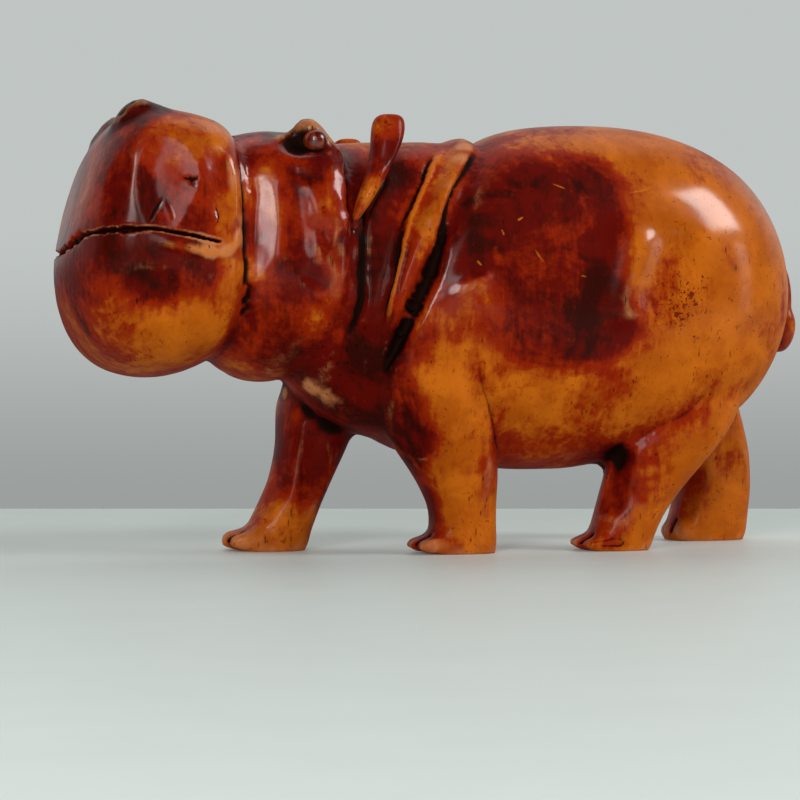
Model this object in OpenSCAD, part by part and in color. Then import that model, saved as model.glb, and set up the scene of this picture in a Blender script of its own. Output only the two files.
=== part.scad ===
// Carved wooden hippopotamus, walking, with its head to -X and its left flank to -Y.
// The trunk, neck, head, muzzle and legs are one carved block. The ears and the tail are
// slips of wood let into housings cut in that block, and the eyes are turned pegs with
// domed heads, driven into drilled sockets.
//
// The carving is set out on a pattern of 237 x 78 x 135 mm, which is stretched to the size
// asked for. A station on the pattern is [crown, keel, half width, squareness]: the crown and
// the keel are the [x, z] points where the section meets the mid plane, at its top and its
// bottom. A squareness of 2 is an ellipse, and a higher one is closer to a rounded rectangle.

/* [Overall size] */
// Length, from the lower lip to the tail
length = 240; // [180:5:300]
// Width across the barrel of the trunk
width = 79; // [65:1:100]
// Height to the top of the left nostril
height = 137; // [110:1:170]

/* [Head] */
// How much the head leans to its right, as the fall in height for each unit of width
lean = 0.1; // [0:0.02:0.14]

/* [Mouth] */
// Height of the slit between the jaws
slit_h = 1.8; // [1:0.1:3]
// How deep the slit is cut into the muzzle
slit_deep = 4; // [2:0.5:8]

/* [Let-in pieces] */
// Radius of the domed head of an eye peg
eye_r = 3.6; // [3:0.1:4.2]
// Radius of the shank of an eye peg
shank_r = 1.6; // [1:0.1:2.4]
// Length of the shank under the domed head
shank_l = 9; // [6:0.5:14]
// Gap for glue around each let-in piece
glue = 0.1; // [0.05:0.05:0.3]

/* [Hidden] */

pattern = [237, 78, 135];
pattern_middle = 1.5;   // x of the pattern halfway along its length
stretch = [length / pattern.x, width / pattern.y, height / pattern.z];

ring_points = 24;    // corners of one section of the trunk, neck, head or muzzle
leg_points = 18;     // corners of one section of a leg
slip_points = 20;    // corners of one section of an ear or the tail
steps = 2;           // sections made between two stations, to round the way from one to the next
left = -1;           // sign of Y on the animal's left
right = 1;
floor_cut = 20;      // thickness of the block that planes the soles flat

// ---- Stations of the carved block, in pattern millimetres ----

trunk = [
    [[11, 118], [-22, 48], 30, 2.3],
    [[13.5, 124.5], [-24, 39], 35, 2.35],
    [[19, 128], [-18, 32], 37.6, 2.4],
    [[30, 130], [0, 26], 38.8, 2.4],
    [[44, 130.8], [26, 23.4], 39, 2.4],
    [[58, 130.6], [50, 24.5], 39, 2.4],
    [[72, 128.6], [70, 28.5], 38, 2.4],
    [[86, 124], [86, 34], 35, 2.35],
    [[97.5, 116.5], [98, 41.5], 30, 2.3],
    [[106, 106.5], [106, 51], 23.5, 2.2],
    [[111.5, 95], [111.5, 61.5], 15, 2.1],
    [[114.5, 82], [114.5, 73], 4.5, 2],
];

collar = [
    [[0.6, 119], [-29, 56], 29.6, 2.4],
    [[2.8, 124.4], [-28.6, 49], 33, 2.4],
    [[6.5, 126.4], [-27, 46], 35, 2.4],
    [[10, 125.8], [-25.4, 46], 34.4, 2.4],
    [[12, 121], [-24, 51], 31.4, 2.4],
];
collar_bow = 7.4;    // how far the flanks of the collar bow towards the head

neck = [
    [[-56, 118], [-52, 56], 22, 2.3],
    [[-42, 123.4], [-42, 46], 26.5, 2.4],
    [[-30, 124.2], [-32, 38], 29.5, 2.4],
    [[-16, 124.8], [-22, 34.5], 31.8, 2.4],
    [[0, 125], [-8, 31], 33.6, 2.4],
    [[18, 124], [12, 28], 34, 2.4],
];

head = [
    [[-76, 118], [-76, 66], 22, 2.4],
    [[-68, 124.6], [-69, 57], 28, 2.6],
    [[-60, 126.4], [-61, 52.4], 31, 2.7],
    [[-50, 126.2], [-51, 51.4], 32, 2.7],
    [[-41, 125.6], [-42, 54.6], 32, 2.7],
    [[-35.5, 123], [-36, 60.5], 30.4, 2.6],
    [[-33, 117], [-33.5, 68], 26.5, 2.5],
];

muzzle = [
    [[-114.6, 95], [-117, 88], 5, 2],
    [[-112.8, 104], [-116.2, 81], 16, 2.3],
    [[-109.2, 115], [-114, 72], 24.5, 2.6],
    [[-104.8, 124], [-110, 63.8], 30, 2.8],
    [[-99.4, 129.6], [-104, 57.6], 33.2, 2.9],
    [[-92, 132], [-95, 53.8], 34.8, 3],
    [[-82, 130.8], [-84, 53.4], 35, 3],
    [[-73, 128.8], [-74, 56.6], 34.2, 3],
    [[-68, 126], [-68, 62], 32, 2.9],
    [[-66, 119], [-66, 70], 27, 2.8],
];

// A leg station is [z, [x, y], half length, half width], with y on the animal's own side.
left_front_leg = [
    [0, [4, 15], 11, 9.8],
    [6, [4.4, 15], 10.4, 9.8],
    [12, [4.4, 15.2], 10.2, 10],
    [18, [3, 15.8], 11.4, 11],
    [26, [0.4, 17], 14, 12.6],
    [36, [-4.4, 18.6], 17, 14.2],
    [48, [-8.2, 20.2], 18, 15],
    [60, [-9.6, 21], 17, 14.6],
    [76, [-8.6, 20], 12, 11],
];

right_front_leg = [
    [0, [-48, 13], 10.4, 9.6],
    [6, [-46.6, 13], 10.6, 10],
    [12, [-43.6, 13.2], 10, 10.2],
    [20, [-39.2, 14], 9.8, 11],
    [32, [-34.8, 15.4], 11.2, 12.4],
    [44, [-32, 17], 13, 13.4],
    [58, [-30.4, 18], 13.2, 12.6],
    [74, [-28, 17], 10, 9],
];

left_hind_leg = [
    [0, [53.8, 16], 10.2, 9.6],
    [6, [55.8, 16], 10.4, 9.8],
    [12, [58, 16], 11.2, 10],
    [18, [61, 16.2], 12.6, 10.8],
    [28, [67, 16.8], 16, 11.6],
    [40, [74, 17], 18.6, 11.6],
    [54, [77, 17], 18, 11],
    [70, [78, 16], 13, 9],
];

right_hind_leg = [
    [0, [97.4, 19], 13.8, 9.8],
    [6, [98.4, 19], 13.8, 10],
    [13, [100, 18.8], 12.6, 10.2],
    [21, [100.6, 18.4], 11.8, 10.8],
    [31, [99, 18], 12.8, 11.4],
    [43, [93, 17.4], 14, 11.6],
    [57, [89, 17], 15, 11],
    [72, [86, 16], 12, 9],
];

// A foot is [x of the ankle, x of the toe tips, y]
left_front_foot = [-1, -11.8, 15];
right_front_foot = [-51, -62.4, 13];
left_hind_foot = [50, 41, 16];
right_hind_foot = [92.6, 85.8, 19];
toe_r = 3.1;
toe_spread = 6;

nostril = [-96, 16, 128];
nostril_r = 5.4;
nostril_pit_r = 2.4;
brow = [-43.6, 18.6, 120.8];
brow_r = 6.4;
socket_r = 4.2;
eye = [-43.8, 22, 120.8];
eye_turn = [64, 24];            // tilt of the peg off vertical, and its swing towards the muzzle
slit_z = 91.4;
slit_end = -76.5;               // x of the corner of the mouth
slit_drop = 1.5;                // degrees that the slit falls towards the corners

// An ear or tail station is [centre, half length, half thickness], with y on its own side.
ear = [
    [[-33.4, 28.8, 96.8], 0.7, 1],
    [[-32.2, 28.8, 99.6], 1.7, 2.2],
    [[-29.8, 28.4, 104.6], 2.4, 3],
    [[-26.8, 27.4, 110.2], 3, 3.2],
    [[-24.2, 25.6, 116], 3.8, 3.2],
    [[-22.4, 23.8, 121], 4.8, 3.2],
    [[-21.6, 22.6, 125.4], 5, 2.8],
    [[-21.2, 22.2, 128], 3.2, 1.8],
];

tail_slip = [
    [[114.6, 0, 60.6], 1.2, 1.4],
    [[115.4, 0, 62.2], 2.6, 3.1],
    [[116.4, 0, 66.4], 3.5, 4.3],
    [[116.5, 0, 71], 3.5, 4.4],
    [[115.9, 0, 74.4], 2.8, 3.1],
    [[116, 0, 76.8], 2.9, 3.3],
    [[115.4, 0, 83.6], 2.8, 3.6],
    [[113.4, 0, 89.6], 2.4, 3],
    [[111.4, 0, 93], 1, 1.2],
];

// ---- Curves and skins ----

// A point of the pattern at the size asked for, with slope as the fall in height towards +Y
function at(p, slope = 0) =
    [(p.x - pattern_middle) * stretch.x, p.y * stretch.y, (p.z - slope * p.y) * stretch.z];

// Catmull-Rom value between b and c at t, with a and d on either side
function blend(a, b, c, d, t) =
    (2 * b + (c - a) * t + (2 * a - 5 * b + 4 * c - d) * t ^ 2
     + (3 * b - a - 3 * c + d) * t ^ 3) / 2;

// The list with smooth values added between its own, so that a few stations make a round shape
function smooth(list, n = steps) = [
    for (i = [0 : len(list) - 2], k = [0 : n - 1])
        blend(list[max(i - 1, 0)], list[i], list[i + 1], list[min(i + 2, len(list) - 1)], k / n),
    list[len(list) - 1]
];

function signed_power(v, p) = sign(v) * abs(v) ^ p;

// A closed section around c, reaching u one way and v the other, with its middle bowed towards -X
function section(c, u, v, square, n, slope = 0, bow = 0) = [
    for (k = [0 : n - 1])
        let (a = 360 * (k + 0.5) / n,
             across = signed_power(cos(a), 2 / square),
             along = signed_power(sin(a), 2 / square))
        at(c + u * across + v * along - [bow * (1 - along ^ 2), 0, 0], slope)
];

// The section at one block station, taken in by inset all round
function block_section(s, slope, inset, bow) =
    let (crown = [s[0].x, 0, s[0].y],
         keel = [s[1].x, 0, s[1].y],
         half = (crown - keel) / 2,
         shrunk = half * (1 - inset / norm(half)))
    section((crown + keel) / 2, [0, s[2] - inset, 0], shrunk, s[3], ring_points, slope, bow);

// Skins a list of sections into one closed solid
module skin(sections) {
    n = len(sections[0]);
    last = len(sections) - 1;
    polyhedron(
        points = [for (s = sections) each s],
        faces = [
            [for (k = [0 : n - 1]) k],
            for (i = [0 : last - 1], k = [0 : n - 1])
                each [[i * n + k, (i + 1) * n + k, (i + 1) * n + (k + 1) % n],
                      [i * n + k, (i + 1) * n + (k + 1) % n, i * n + (k + 1) % n]],
            [for (k = [n - 1 : -1 : 0]) last * n + k]
        ],
        convexity = 4);
}

// ---- The carved block ----

module block_mass(stations, slope = 0, inset = 0, bow = 0) {
    skin([for (s = smooth(stations)) block_section(s, slope, inset, bow)]);
}

module leg(stations, side) {
    skin([for (s = smooth(stations))
        section([s[1].x, side * s[1].y, s[0]], [s[2], 0, 0], [0, s[3], 0], 2.4, leg_points)]);
}

// The hollow in front of an eye
module eye_socket(side) {
    translate(at([eye.x - 1.6, side * (eye.y + 1.8), eye.z - 0.6], lean))
        sphere(r = socket_r, $fn = 20);
}

// Three toes that run from the ankle to the floor in front of it
module foot(place, side) {
    for (toe = [-1, 0, 1])
        hull() {
            translate(at([place.x, side * place.z + toe * toe_spread * 0.6, toe_r + 3]))
                sphere(r = toe_r + 1, $fn = 12);
            translate(at([place.y + (toe == 0 ? 0 : 1.5), side * place.z + toe * toe_spread, toe_r - 0.3]))
                sphere(r = toe_r, $fn = 12);
        }
}

module nostril_mound(side) {
    translate(at([nostril.x, side * nostril.y, nostril.z], lean))
        sphere(r = nostril_r, $fn = 20);
}

module nostril_pit(side) {
    translate(at([nostril.x - 3.2, side * nostril.y, nostril.z + 5], lean))
        sphere(r = nostril_pit_r, $fn = 16);
}

module brow_mound(side) {
    translate(at([brow.x, side * brow.y, brow.z], lean))
        sphere(r = brow_r, $fn = 20);
}

// The slit between the jaws: a thin slab round the front of the muzzle, outside a smaller muzzle
// that has no tip
module mouth_slit() {
    reach = (slit_end - muzzle[0][1].x) * stretch.x * 1.2;
    inner = [for (i = [1 : len(muzzle) - 1]) muzzle[i]];
    difference() {
        translate(at([slit_end, 0, slit_z]))
            rotate([-atan(lean), slit_drop, 0])
                translate([-reach, -width / 2, -slit_h / 2])
                    cube([reach, width, slit_h]);
        block_mass(inner, lean, slit_deep);
    }
}

module carving() {
    difference() {
        union() {
            block_mass(trunk);
            block_mass(collar, bow = collar_bow);
            block_mass(neck);
            block_mass(head, lean);
            block_mass(muzzle, lean);
            leg(left_front_leg, left);
            leg(right_front_leg, right);
            leg(left_hind_leg, left);
            leg(right_hind_leg, right);
            foot(left_front_foot, left);
            foot(right_front_foot, right);
            foot(left_hind_foot, left);
            foot(right_hind_foot, right);
            for (side = [left, right]) {
                nostril_mound(side);
                brow_mound(side);
            }
        }
        translate([-length, -width, -floor_cut])
            cube([2 * length, 2 * width, floor_cut]);
    }
}

// ---- The let-in pieces, each grown by gap where it is used as a cutter ----

module slip(stations, side, gap = 0) {
    skin([for (s = smooth(stations))
        section([s[0].x, side * s[0].y, s[0].z - lean * side * s[0].y],
                [s[1] + gap, 0, 0], [0, s[2] + gap, 0], 2.2, slip_points)]);
}

module eye_peg(side, gap = 0) {
    translate(at([eye.x, side * eye.y, eye.z], lean))
        rotate([-side * eye_turn[0], 0, side * eye_turn[1]]) {
            sphere(r = eye_r + gap, $fn = 40);
            translate([0, 0, -shank_l - gap])
                cylinder(h = shank_l + gap, r = shank_r + gap, $fn = 32);
        }
}

// ---- The nodes ----

module body() {
    color([0.52, 0.17, 0.05])
        difference() {
            carving();
            mouth_slit();
            for (side = [left, right]) {
                nostril_pit(side);
                eye_socket(side);
                eye_peg(side, glue);
                slip(ear, side, glue);
            }
            slip(tail_slip, 1, glue);
        }
}

module left_ear() {
    color([0.62, 0.24, 0.07]) slip(ear, left);
}

module right_ear() {
    color([0.62, 0.24, 0.07]) slip(ear, right);
}

module left_eye() {
    color([0.10, 0.03, 0.02]) eye_peg(left);
}

module right_eye() {
    color([0.10, 0.03, 0.02]) eye_peg(right);
}

module tail() {
    color([0.50, 0.16, 0.05]) slip(tail_slip, 1);
}

body();
left_ear();
right_ear();
left_eye();
right_eye();
tail();
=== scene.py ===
"""A walking hippopotamus carved from one block of hardwood, stained, lacquered and set on a pale table.

The carving is roughed out as lofted masses, fused into one block and then worked over with gouge
strokes. The ears, the eyes and the tail are let in as pieces of their own.
"""

import logging
import math
from dataclasses import dataclass
from enum import Enum
from typing import Any

import bpy
import numpy as np
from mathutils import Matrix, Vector, noise
from mathutils.bvhtree import BVHTree


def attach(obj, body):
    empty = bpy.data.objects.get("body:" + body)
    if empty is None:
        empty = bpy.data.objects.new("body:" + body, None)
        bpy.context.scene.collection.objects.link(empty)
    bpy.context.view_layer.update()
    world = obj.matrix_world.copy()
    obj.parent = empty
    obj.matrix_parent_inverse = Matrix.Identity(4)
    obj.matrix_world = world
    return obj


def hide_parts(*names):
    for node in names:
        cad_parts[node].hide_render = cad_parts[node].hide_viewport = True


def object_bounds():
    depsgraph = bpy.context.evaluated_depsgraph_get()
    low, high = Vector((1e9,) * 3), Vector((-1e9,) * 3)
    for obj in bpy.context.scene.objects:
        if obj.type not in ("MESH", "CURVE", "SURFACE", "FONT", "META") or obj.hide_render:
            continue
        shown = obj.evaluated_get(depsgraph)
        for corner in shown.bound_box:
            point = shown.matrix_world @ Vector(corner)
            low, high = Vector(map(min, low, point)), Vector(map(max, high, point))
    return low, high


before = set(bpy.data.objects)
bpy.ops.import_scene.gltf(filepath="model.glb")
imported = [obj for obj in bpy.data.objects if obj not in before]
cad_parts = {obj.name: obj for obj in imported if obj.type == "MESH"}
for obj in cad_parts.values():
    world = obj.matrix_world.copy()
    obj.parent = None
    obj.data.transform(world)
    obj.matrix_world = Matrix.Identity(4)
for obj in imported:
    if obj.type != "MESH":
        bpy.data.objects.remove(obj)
CAD_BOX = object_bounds()

LOG = logging.getLogger("hippopotamus")
MM = 0.001


# ---------------------------------------------------------------------------------------------
# The pattern and the bench
# ---------------------------------------------------------------------------------------------


@dataclass(frozen=True)
class Pattern:
    """The carver's drawing, in millimetres, laid over the frame's box.

    x runs from the muzzle (negative) to the tail, y from the left flank (negative) to the right,
    and z up from the soles. The head leans: it falls by `lean` for each unit towards the right.
    """

    length: float = 237.0
    width: float = 77.6
    height: float = 135.0
    middle: float = 1.5
    lean: float = 0.1

    def scale(self) -> np.ndarray:
        """Metres of carving for each millimetre of drawing, along each axis."""
        low, high = (np.array(corner) for corner in CAD_BOX)
        return (high - low) / np.array([self.length, self.width, self.height])

    def at(self, points: Any, slope: float = 0.0) -> np.ndarray:
        """Places points of the drawing in the frame.

        Args:
            points: one (x, y, z) or a sequence of them, in millimetres.
            slope: how far z falls for each unit of y.

        Returns:
            The same points in metres.
        """
        p = np.array(points, dtype=float)
        p[..., 2] -= slope * p[..., 1]
        p[..., 0] -= self.middle
        return p * self.scale()


PATTERN = Pattern()
LEAN = PATTERN.lean
LEG_SQUARENESS = 2.6


class Bench:
    """What is selected, and the operators that every piece goes through."""

    @staticmethod
    def clear() -> None:
        """Leaves edit mode and deselects everything."""
        if bpy.context.object is not None and bpy.context.object.mode != "OBJECT":
            bpy.ops.object.mode_set(mode="OBJECT")
        bpy.ops.object.select_all(action="DESELECT")

    @staticmethod
    def hold(piece: bpy.types.Object) -> None:
        """Makes one piece the only one selected, and the active one.

        Args:
            piece: the object to hold.
        """
        Bench.clear()
        piece.select_set(True)
        bpy.context.view_layer.objects.active = piece

    @staticmethod
    def apply(piece: bpy.types.Object, kind: str, **settings: Any) -> None:
        """Adds a modifier to a piece, sets it and applies it at once.

        Args:
            piece: the object to work on.
            kind: the modifier's type, such as SUBSURF.
            settings: the modifier's own properties.
        """
        Bench.hold(piece)
        bpy.ops.object.modifier_add(type=kind)
        modifier = piece.modifiers[-1]
        for name, value in settings.items():
            setattr(modifier, name, value)
        bpy.ops.object.modifier_apply(modifier=modifier.name)

    @staticmethod
    def join(pieces: list[bpy.types.Object], name: str) -> bpy.types.Object:
        """Joins pieces into the first of them.

        Args:
            pieces: the objects to join.
            name: what the result is called.

        Returns:
            The joined object.
        """
        Bench.hold(pieces[0])
        for piece in pieces[1:]:
            piece.select_set(True)
        bpy.ops.object.join()
        joined = bpy.context.object
        joined.name = name
        joined.data.name = name
        return joined

    @staticmethod
    def smooth_shade(piece: bpy.types.Object) -> None:
        """Shades a piece smooth all over."""
        Bench.hold(piece)
        bpy.ops.object.shade_smooth_by_angle(angle=math.pi)


# ---------------------------------------------------------------------------------------------
# Lofts: a ring of points, extruded and reshaped from one station to the next
# ---------------------------------------------------------------------------------------------


@dataclass(frozen=True)
class Section:
    """One cross-section: its centre, the two ways it reaches and how square it is.

    A squareness of 2 is an ellipse, and a higher one is closer to a rounded rectangle. `bow` moves
    the flanks of the section towards the head.
    """

    centre: tuple[float, float, float]
    across: tuple[float, float, float]
    along: tuple[float, float, float]
    square: float = 2.4
    bow: float = 0.0

    def ring(self, count: int, slope: float = 0.0) -> np.ndarray:
        """Draws the section, a little large to make up for what subdividing takes off.

        Args:
            count: how many points the ring has.
            slope: how far the section leans, as for Pattern.at.

        Returns:
            The ring's points in the frame.
        """
        angle = 2 * np.pi * (np.arange(count) + 0.5) / count
        power = 2 / self.square
        grow = 3 / (2 + math.cos(2 * math.pi / count))
        c = np.sign(np.cos(angle)) * np.abs(np.cos(angle)) ** power
        s = np.sign(np.sin(angle)) * np.abs(np.sin(angle)) ** power
        points = np.array(self.centre) + grow * (c[:, None] * self.across + s[:, None] * self.along)
        points[:, 0] -= self.bow * (1 - s**2)
        return PATTERN.at(points, slope)


def block(
    crown: tuple[float, float], keel: tuple[float, float], half: float, square: float, bow: float = 0.0
) -> Section:
    """A section of the trunk or head.

    Args:
        crown: x and z of its top on the mid plane.
        keel: x and z of its bottom on the mid plane.
        half: half its width.
        square: how square it is.
        bow: how far its flanks move towards the head.

    Returns:
        The section.
    """
    centre = ((crown[0] + keel[0]) / 2, 0.0, (crown[1] + keel[1]) / 2)
    rise = ((crown[0] - keel[0]) / 2, 0.0, (crown[1] - keel[1]) / 2)
    return Section(centre, (0.0, half, 0.0), rise, square, bow)


def limb(z: float, x: float, y: float, length: float, width: float) -> Section:
    """A level section of a leg at a height and a place, with half its length and half its width."""
    return Section((x, y, z), (length, 0.0, 0.0), (0.0, width, 0.0), LEG_SQUARENESS)


class Loft:
    """A closed solid made by extruding a ring from section to section."""

    def __init__(self, name: str, sections: list[Section], count: int = 24, slope: float = 0.0) -> None:
        """Keeps the recipe.

        Args:
            name: the piece's name.
            sections: the cross-sections in order.
            count: corners of each ring.
            slope: how far the piece leans, as for Pattern.at.
        """
        self.name = name
        self.rings = [section.ring(count, slope) for section in sections]
        self.count = count

    def build(self, levels: int = 2) -> bpy.types.Object:
        """Extrudes the rings and rounds the result.

        Args:
            levels: times the cage is subdivided.

        Returns:
            The finished solid, with its place in its mesh.
        """
        Bench.clear()
        bpy.ops.mesh.primitive_circle_add(vertices=self.count, radius=1.0, fill_type="NGON")
        piece = bpy.context.object
        piece.name = self.name
        for vertex, point in zip(piece.data.vertices, self.rings[0]):
            vertex.co = point
        for before, after in zip(self.rings, self.rings[1:]):
            bpy.ops.object.mode_set(mode="EDIT")
            bpy.ops.mesh.extrude_region_move()
            bpy.ops.object.mode_set(mode="OBJECT")
            self.reshape(piece, before, after)
        bpy.ops.object.mode_set(mode="EDIT")
        bpy.ops.mesh.select_all(action="SELECT")
        bpy.ops.mesh.normals_make_consistent(inside=False)
        bpy.ops.object.mode_set(mode="OBJECT")
        Bench.apply(piece, "SUBSURF", levels=levels, render_levels=levels)
        return piece

    @staticmethod
    def reshape(piece: bpy.types.Object, before: np.ndarray, after: np.ndarray) -> None:
        """Moves the ring just extruded to its own section.

        Args:
            piece: the loft so far, with the new ring selected.
            before: the section that the new ring still lies on.
            after: the section that it goes to.
        """
        for vertex in piece.data.vertices:
            if vertex.select:
                nearest = np.argmin(((before - np.array(vertex.co)) ** 2).sum(axis=1))
                vertex.co = after[nearest]


# ---------------------------------------------------------------------------------------------
# Carving tools: cuts, strokes and dabs that push the surface about
# ---------------------------------------------------------------------------------------------

Spot = tuple[float, float, float]


class Tool(Enum):
    """The shape that a stroke leaves."""

    GOUGE = "round hollow"
    VEE = "sharp cut"
    SLOT = "saw cut"
    ROLL = "raised roll"


@dataclass(frozen=True)
class Stroke:
    """One pass of a tool through points of the drawing, drawn on the left and snapped to the wood.

    `reach` is how far the tool works to each side, `depth` how far it pushes in or out, and its
    ink how dark it leaves the cut: dark stain, and painted shade in deep cuts (below zero, how much
    stain it rubs off). `taper` is the share of the path over which each end fades, and `ragged` how
    unevenly it is cut. `both` repeats it on the right flank, and `leans` says that it is on the head,
    which leans.
    """

    tool: Tool
    path: tuple[Spot, ...]
    reach: float
    depth: float
    ink: float = 0.0
    taper: float = 0.2
    ragged: float = 0.0
    both: bool = True
    leans: bool = False


@dataclass(frozen=True)
class Dab:
    """One round swelling (positive) or hollow (negative) about a point of the drawing."""

    centre: Spot
    reach: float
    depth: float
    ink: float = 0.0
    both: bool = True
    leans: bool = False


@dataclass(frozen=True)
class Flat:
    """One flat cut with a chisel.

    It faces `azimuth` degrees round from the left flank's side towards the rump, and `elevation`
    degrees up. It lies `depth` below the wood at its centre, and fades beyond its two reaches.
    """

    centre: Spot
    azimuth: float
    elevation: float
    reach: tuple[float, float]
    depth: float
    both: bool = True
    leans: bool = False


def curve_through(points: np.ndarray, gap: float = 0.35) -> np.ndarray:
    """A smooth curve through points, as a dense row of them.

    Args:
        points: at least two points, one to a row.
        gap: about how far apart the new points lie.

    Returns:
        The Catmull-Rom curve's points.
    """
    padded = np.vstack([2 * points[0] - points[1], points, 2 * points[-1] - points[-2]])
    out = []
    for a, b, c, d in zip(padded, padded[1:], padded[2:], padded[3:]):
        steps = max(3, math.ceil(float(np.linalg.norm(c - b)) / gap))
        t = (np.arange(steps) / steps)[:, None]
        cubic = 3 * b - a - 3 * c + d
        square = 2 * a - 5 * b + 4 * c - d
        out.append((2 * b + (c - a) * t + square * t**2 + cubic * t**3) / 2)
    return np.vstack([*out, points[-1:]])


def smooth_step(value: np.ndarray) -> np.ndarray:
    """Eases 0 to 1."""
    held = np.clip(value, 0.0, 1.0)
    return held * held * (3 - 2 * held)


def sides(mark: "Stroke | Dab | Flat") -> tuple[float, ...]:
    """1 for the left flank as drawn, and -1 for its mirror."""
    return (1.0, -1.0) if mark.both else (1.0,)


class Carver:
    """Holds a block's points, normals and the dark left in its cuts, stain with painted shade in deep cuts,
    as arrays while tools work on it.
    """

    def __init__(self, piece: bpy.types.Object) -> None:
        """Takes up a block.

        Args:
            piece: the block, at the origin with its place in its mesh.
        """
        self.piece = piece
        self.mesh = piece.data
        self.read()

    def read(self) -> None:
        """Reads the points and edges of the mesh, with no dark stain or painted shade on them."""
        count = len(self.mesh.vertices)
        self.points = np.empty((count, 3), np.float32)
        self.mesh.vertices.foreach_get("co", self.points.ravel())
        edges = np.empty(len(self.mesh.edges) * 2, np.int32)
        self.mesh.edges.foreach_get("vertices", edges)
        self.edges = edges.reshape(-1, 2)
        self.links = np.bincount(self.edges.ravel(), minlength=count)
        self.ink = np.zeros(count, np.float32)
        self.study()

    def study(self) -> None:
        """Writes the points back and reads the normals and the surface again."""
        self.mesh.vertices.foreach_set("co", self.points.ravel())
        self.mesh.update()
        self.normals = np.empty_like(self.points)
        self.mesh.vertex_normals.foreach_get("vector", self.normals.ravel())
        self.surface = BVHTree.FromObject(self.piece, bpy.context.evaluated_depsgraph_get())

    def relax(self, values: np.ndarray, rounds: int) -> np.ndarray:
        """Moves each point's value half way to its neighbours' mean, again and again.

        Args:
            values: one number or vector for each point.
            rounds: times this is done.

        Returns:
            The smoothed values.
        """
        flat = values.reshape(len(values), -1).astype(np.float64)
        a, b = self.edges.T
        for _ in range(rounds):
            total = np.empty_like(flat)
            for k in range(flat.shape[1]):
                total[:, k] = np.bincount(a, flat[b, k], len(flat)) + np.bincount(b, flat[a, k], len(flat))
            flat += 0.5 * (total / self.links[:, None] - flat)
        return flat.reshape(values.shape).astype(np.float32)

    def smooth(self, rounds: int) -> None:
        """Relaxes the whole surface."""
        self.points = self.relax(self.points, rounds)
        self.study()

    def snap(self, points: np.ndarray) -> np.ndarray:
        """The nearest points of the surface."""
        return np.array([self.surface.find_nearest(Vector(p))[0] for p in points], np.float32)

    def trace(self, stroke: Stroke, side: float) -> np.ndarray:
        """Lays a stroke's path on the surface.

        Args:
            stroke: the stroke.
            side: 1 as drawn, -1 mirrored to the right flank.

        Returns:
            The path's points in metres.
        """
        path = curve_through(np.array(stroke.path, float))
        if side < 0:
            path[:, 2] -= 2 * LEAN * np.abs(path[:, 1]) * stroke.leans
            path[:, 1] *= -1
        return self.snap(PATTERN.at(path))

    def refine(self, strokes: list[Stroke], reach: float) -> None:
        """Quarters the faces near some strokes.

        Args:
            strokes: the strokes that need a finer mesh.
            reach: how far from their paths, in millimetres.
        """
        lines = np.vstack([self.trace(stroke, side) for stroke in strokes for side in sides(stroke)])
        lines = lines[::4]
        centres = np.empty((len(self.mesh.polygons), 3), np.float32)
        self.mesh.polygons.foreach_get("center", centres.ravel())
        near = np.zeros(len(centres), bool)
        for spot in lines:
            near |= ((centres - spot) ** 2).sum(1) < (reach * MM) ** 2
        Bench.hold(self.piece)
        bpy.ops.object.mode_set(mode="EDIT")
        bpy.ops.mesh.select_mode(type="FACE")
        bpy.ops.mesh.select_all(action="DESELECT")
        bpy.ops.object.mode_set(mode="OBJECT")
        self.mesh.polygons.foreach_set("select", near)
        bpy.ops.object.mode_set(mode="EDIT")
        bpy.ops.mesh.subdivide(number_cuts=1, ngon=False)
        bpy.ops.mesh.select_mode(type="VERT")
        bpy.ops.object.mode_set(mode="OBJECT")
        self.read()

    def strike(self, stroke: Stroke) -> None:
        """Makes one stroke, and its mirror where it is for both flanks."""
        for side in sides(stroke):
            self.plough(self.trace(stroke, side), stroke)

    def plough(self, line: np.ndarray, stroke: Stroke) -> None:
        """Moves the points within a stroke's reach of a line, and darkens them with stain and painted shade.

        Args:
            line: the points of a path on the surface, in metres.
            stroke: the stroke that follows it.
        """
        reach, depth = stroke.reach * MM, stroke.depth * MM
        low, high = line.min(0) - 1.5 * reach, line.max(0) + 1.5 * reach
        near = np.where(((self.points >= low) & (self.points <= high)).all(1))[0]
        if not len(near):
            LOG.warning("a %s at %s misses the block", stroke.tool.value, stroke.path[0])
            return
        distance = np.full(len(near), np.inf)
        closest = np.zeros(len(near), int)
        for k, spot in enumerate(line):
            gap = np.sqrt(((self.points[near] - spot) ** 2).sum(1))
            nearer = gap < distance
            distance[nearer], closest[nearer] = gap[nearer], k
        wander = [noise.noise(Vector(spot) * 260) + 0.6 * noise.noise(Vector(spot) * 700) for spot in line]
        width = reach * (1 + stroke.ragged * np.array(wander)[closest])
        far = distance / width
        inside = far < 1
        near, closest, far = near[inside], closest[inside], far[inside]
        along = closest / (len(line) - 1)
        fade = np.ones(len(along))
        if stroke.taper:
            fade = smooth_step(np.minimum(along, 1 - along) / stroke.taper)
        bell = (1 - far**2) ** 2
        shape = {
            Tool.GOUGE: -bell,
            Tool.VEE: -((1 - far) ** 1.3),
            Tool.SLOT: -smooth_step((1 - far) / 0.45),
            Tool.ROLL: bell,
        }[stroke.tool]
        self.points[near] += self.normals[near] * (shape * fade * depth)[:, None]
        # dark stain in the cut, and painted shade in its depth
        dark = smooth_step((1 - far) / 0.7) * stroke.ink * np.sqrt(fade)
        self.ink[near] = np.where(np.abs(dark) > np.abs(self.ink[near]), dark, self.ink[near])

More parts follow.
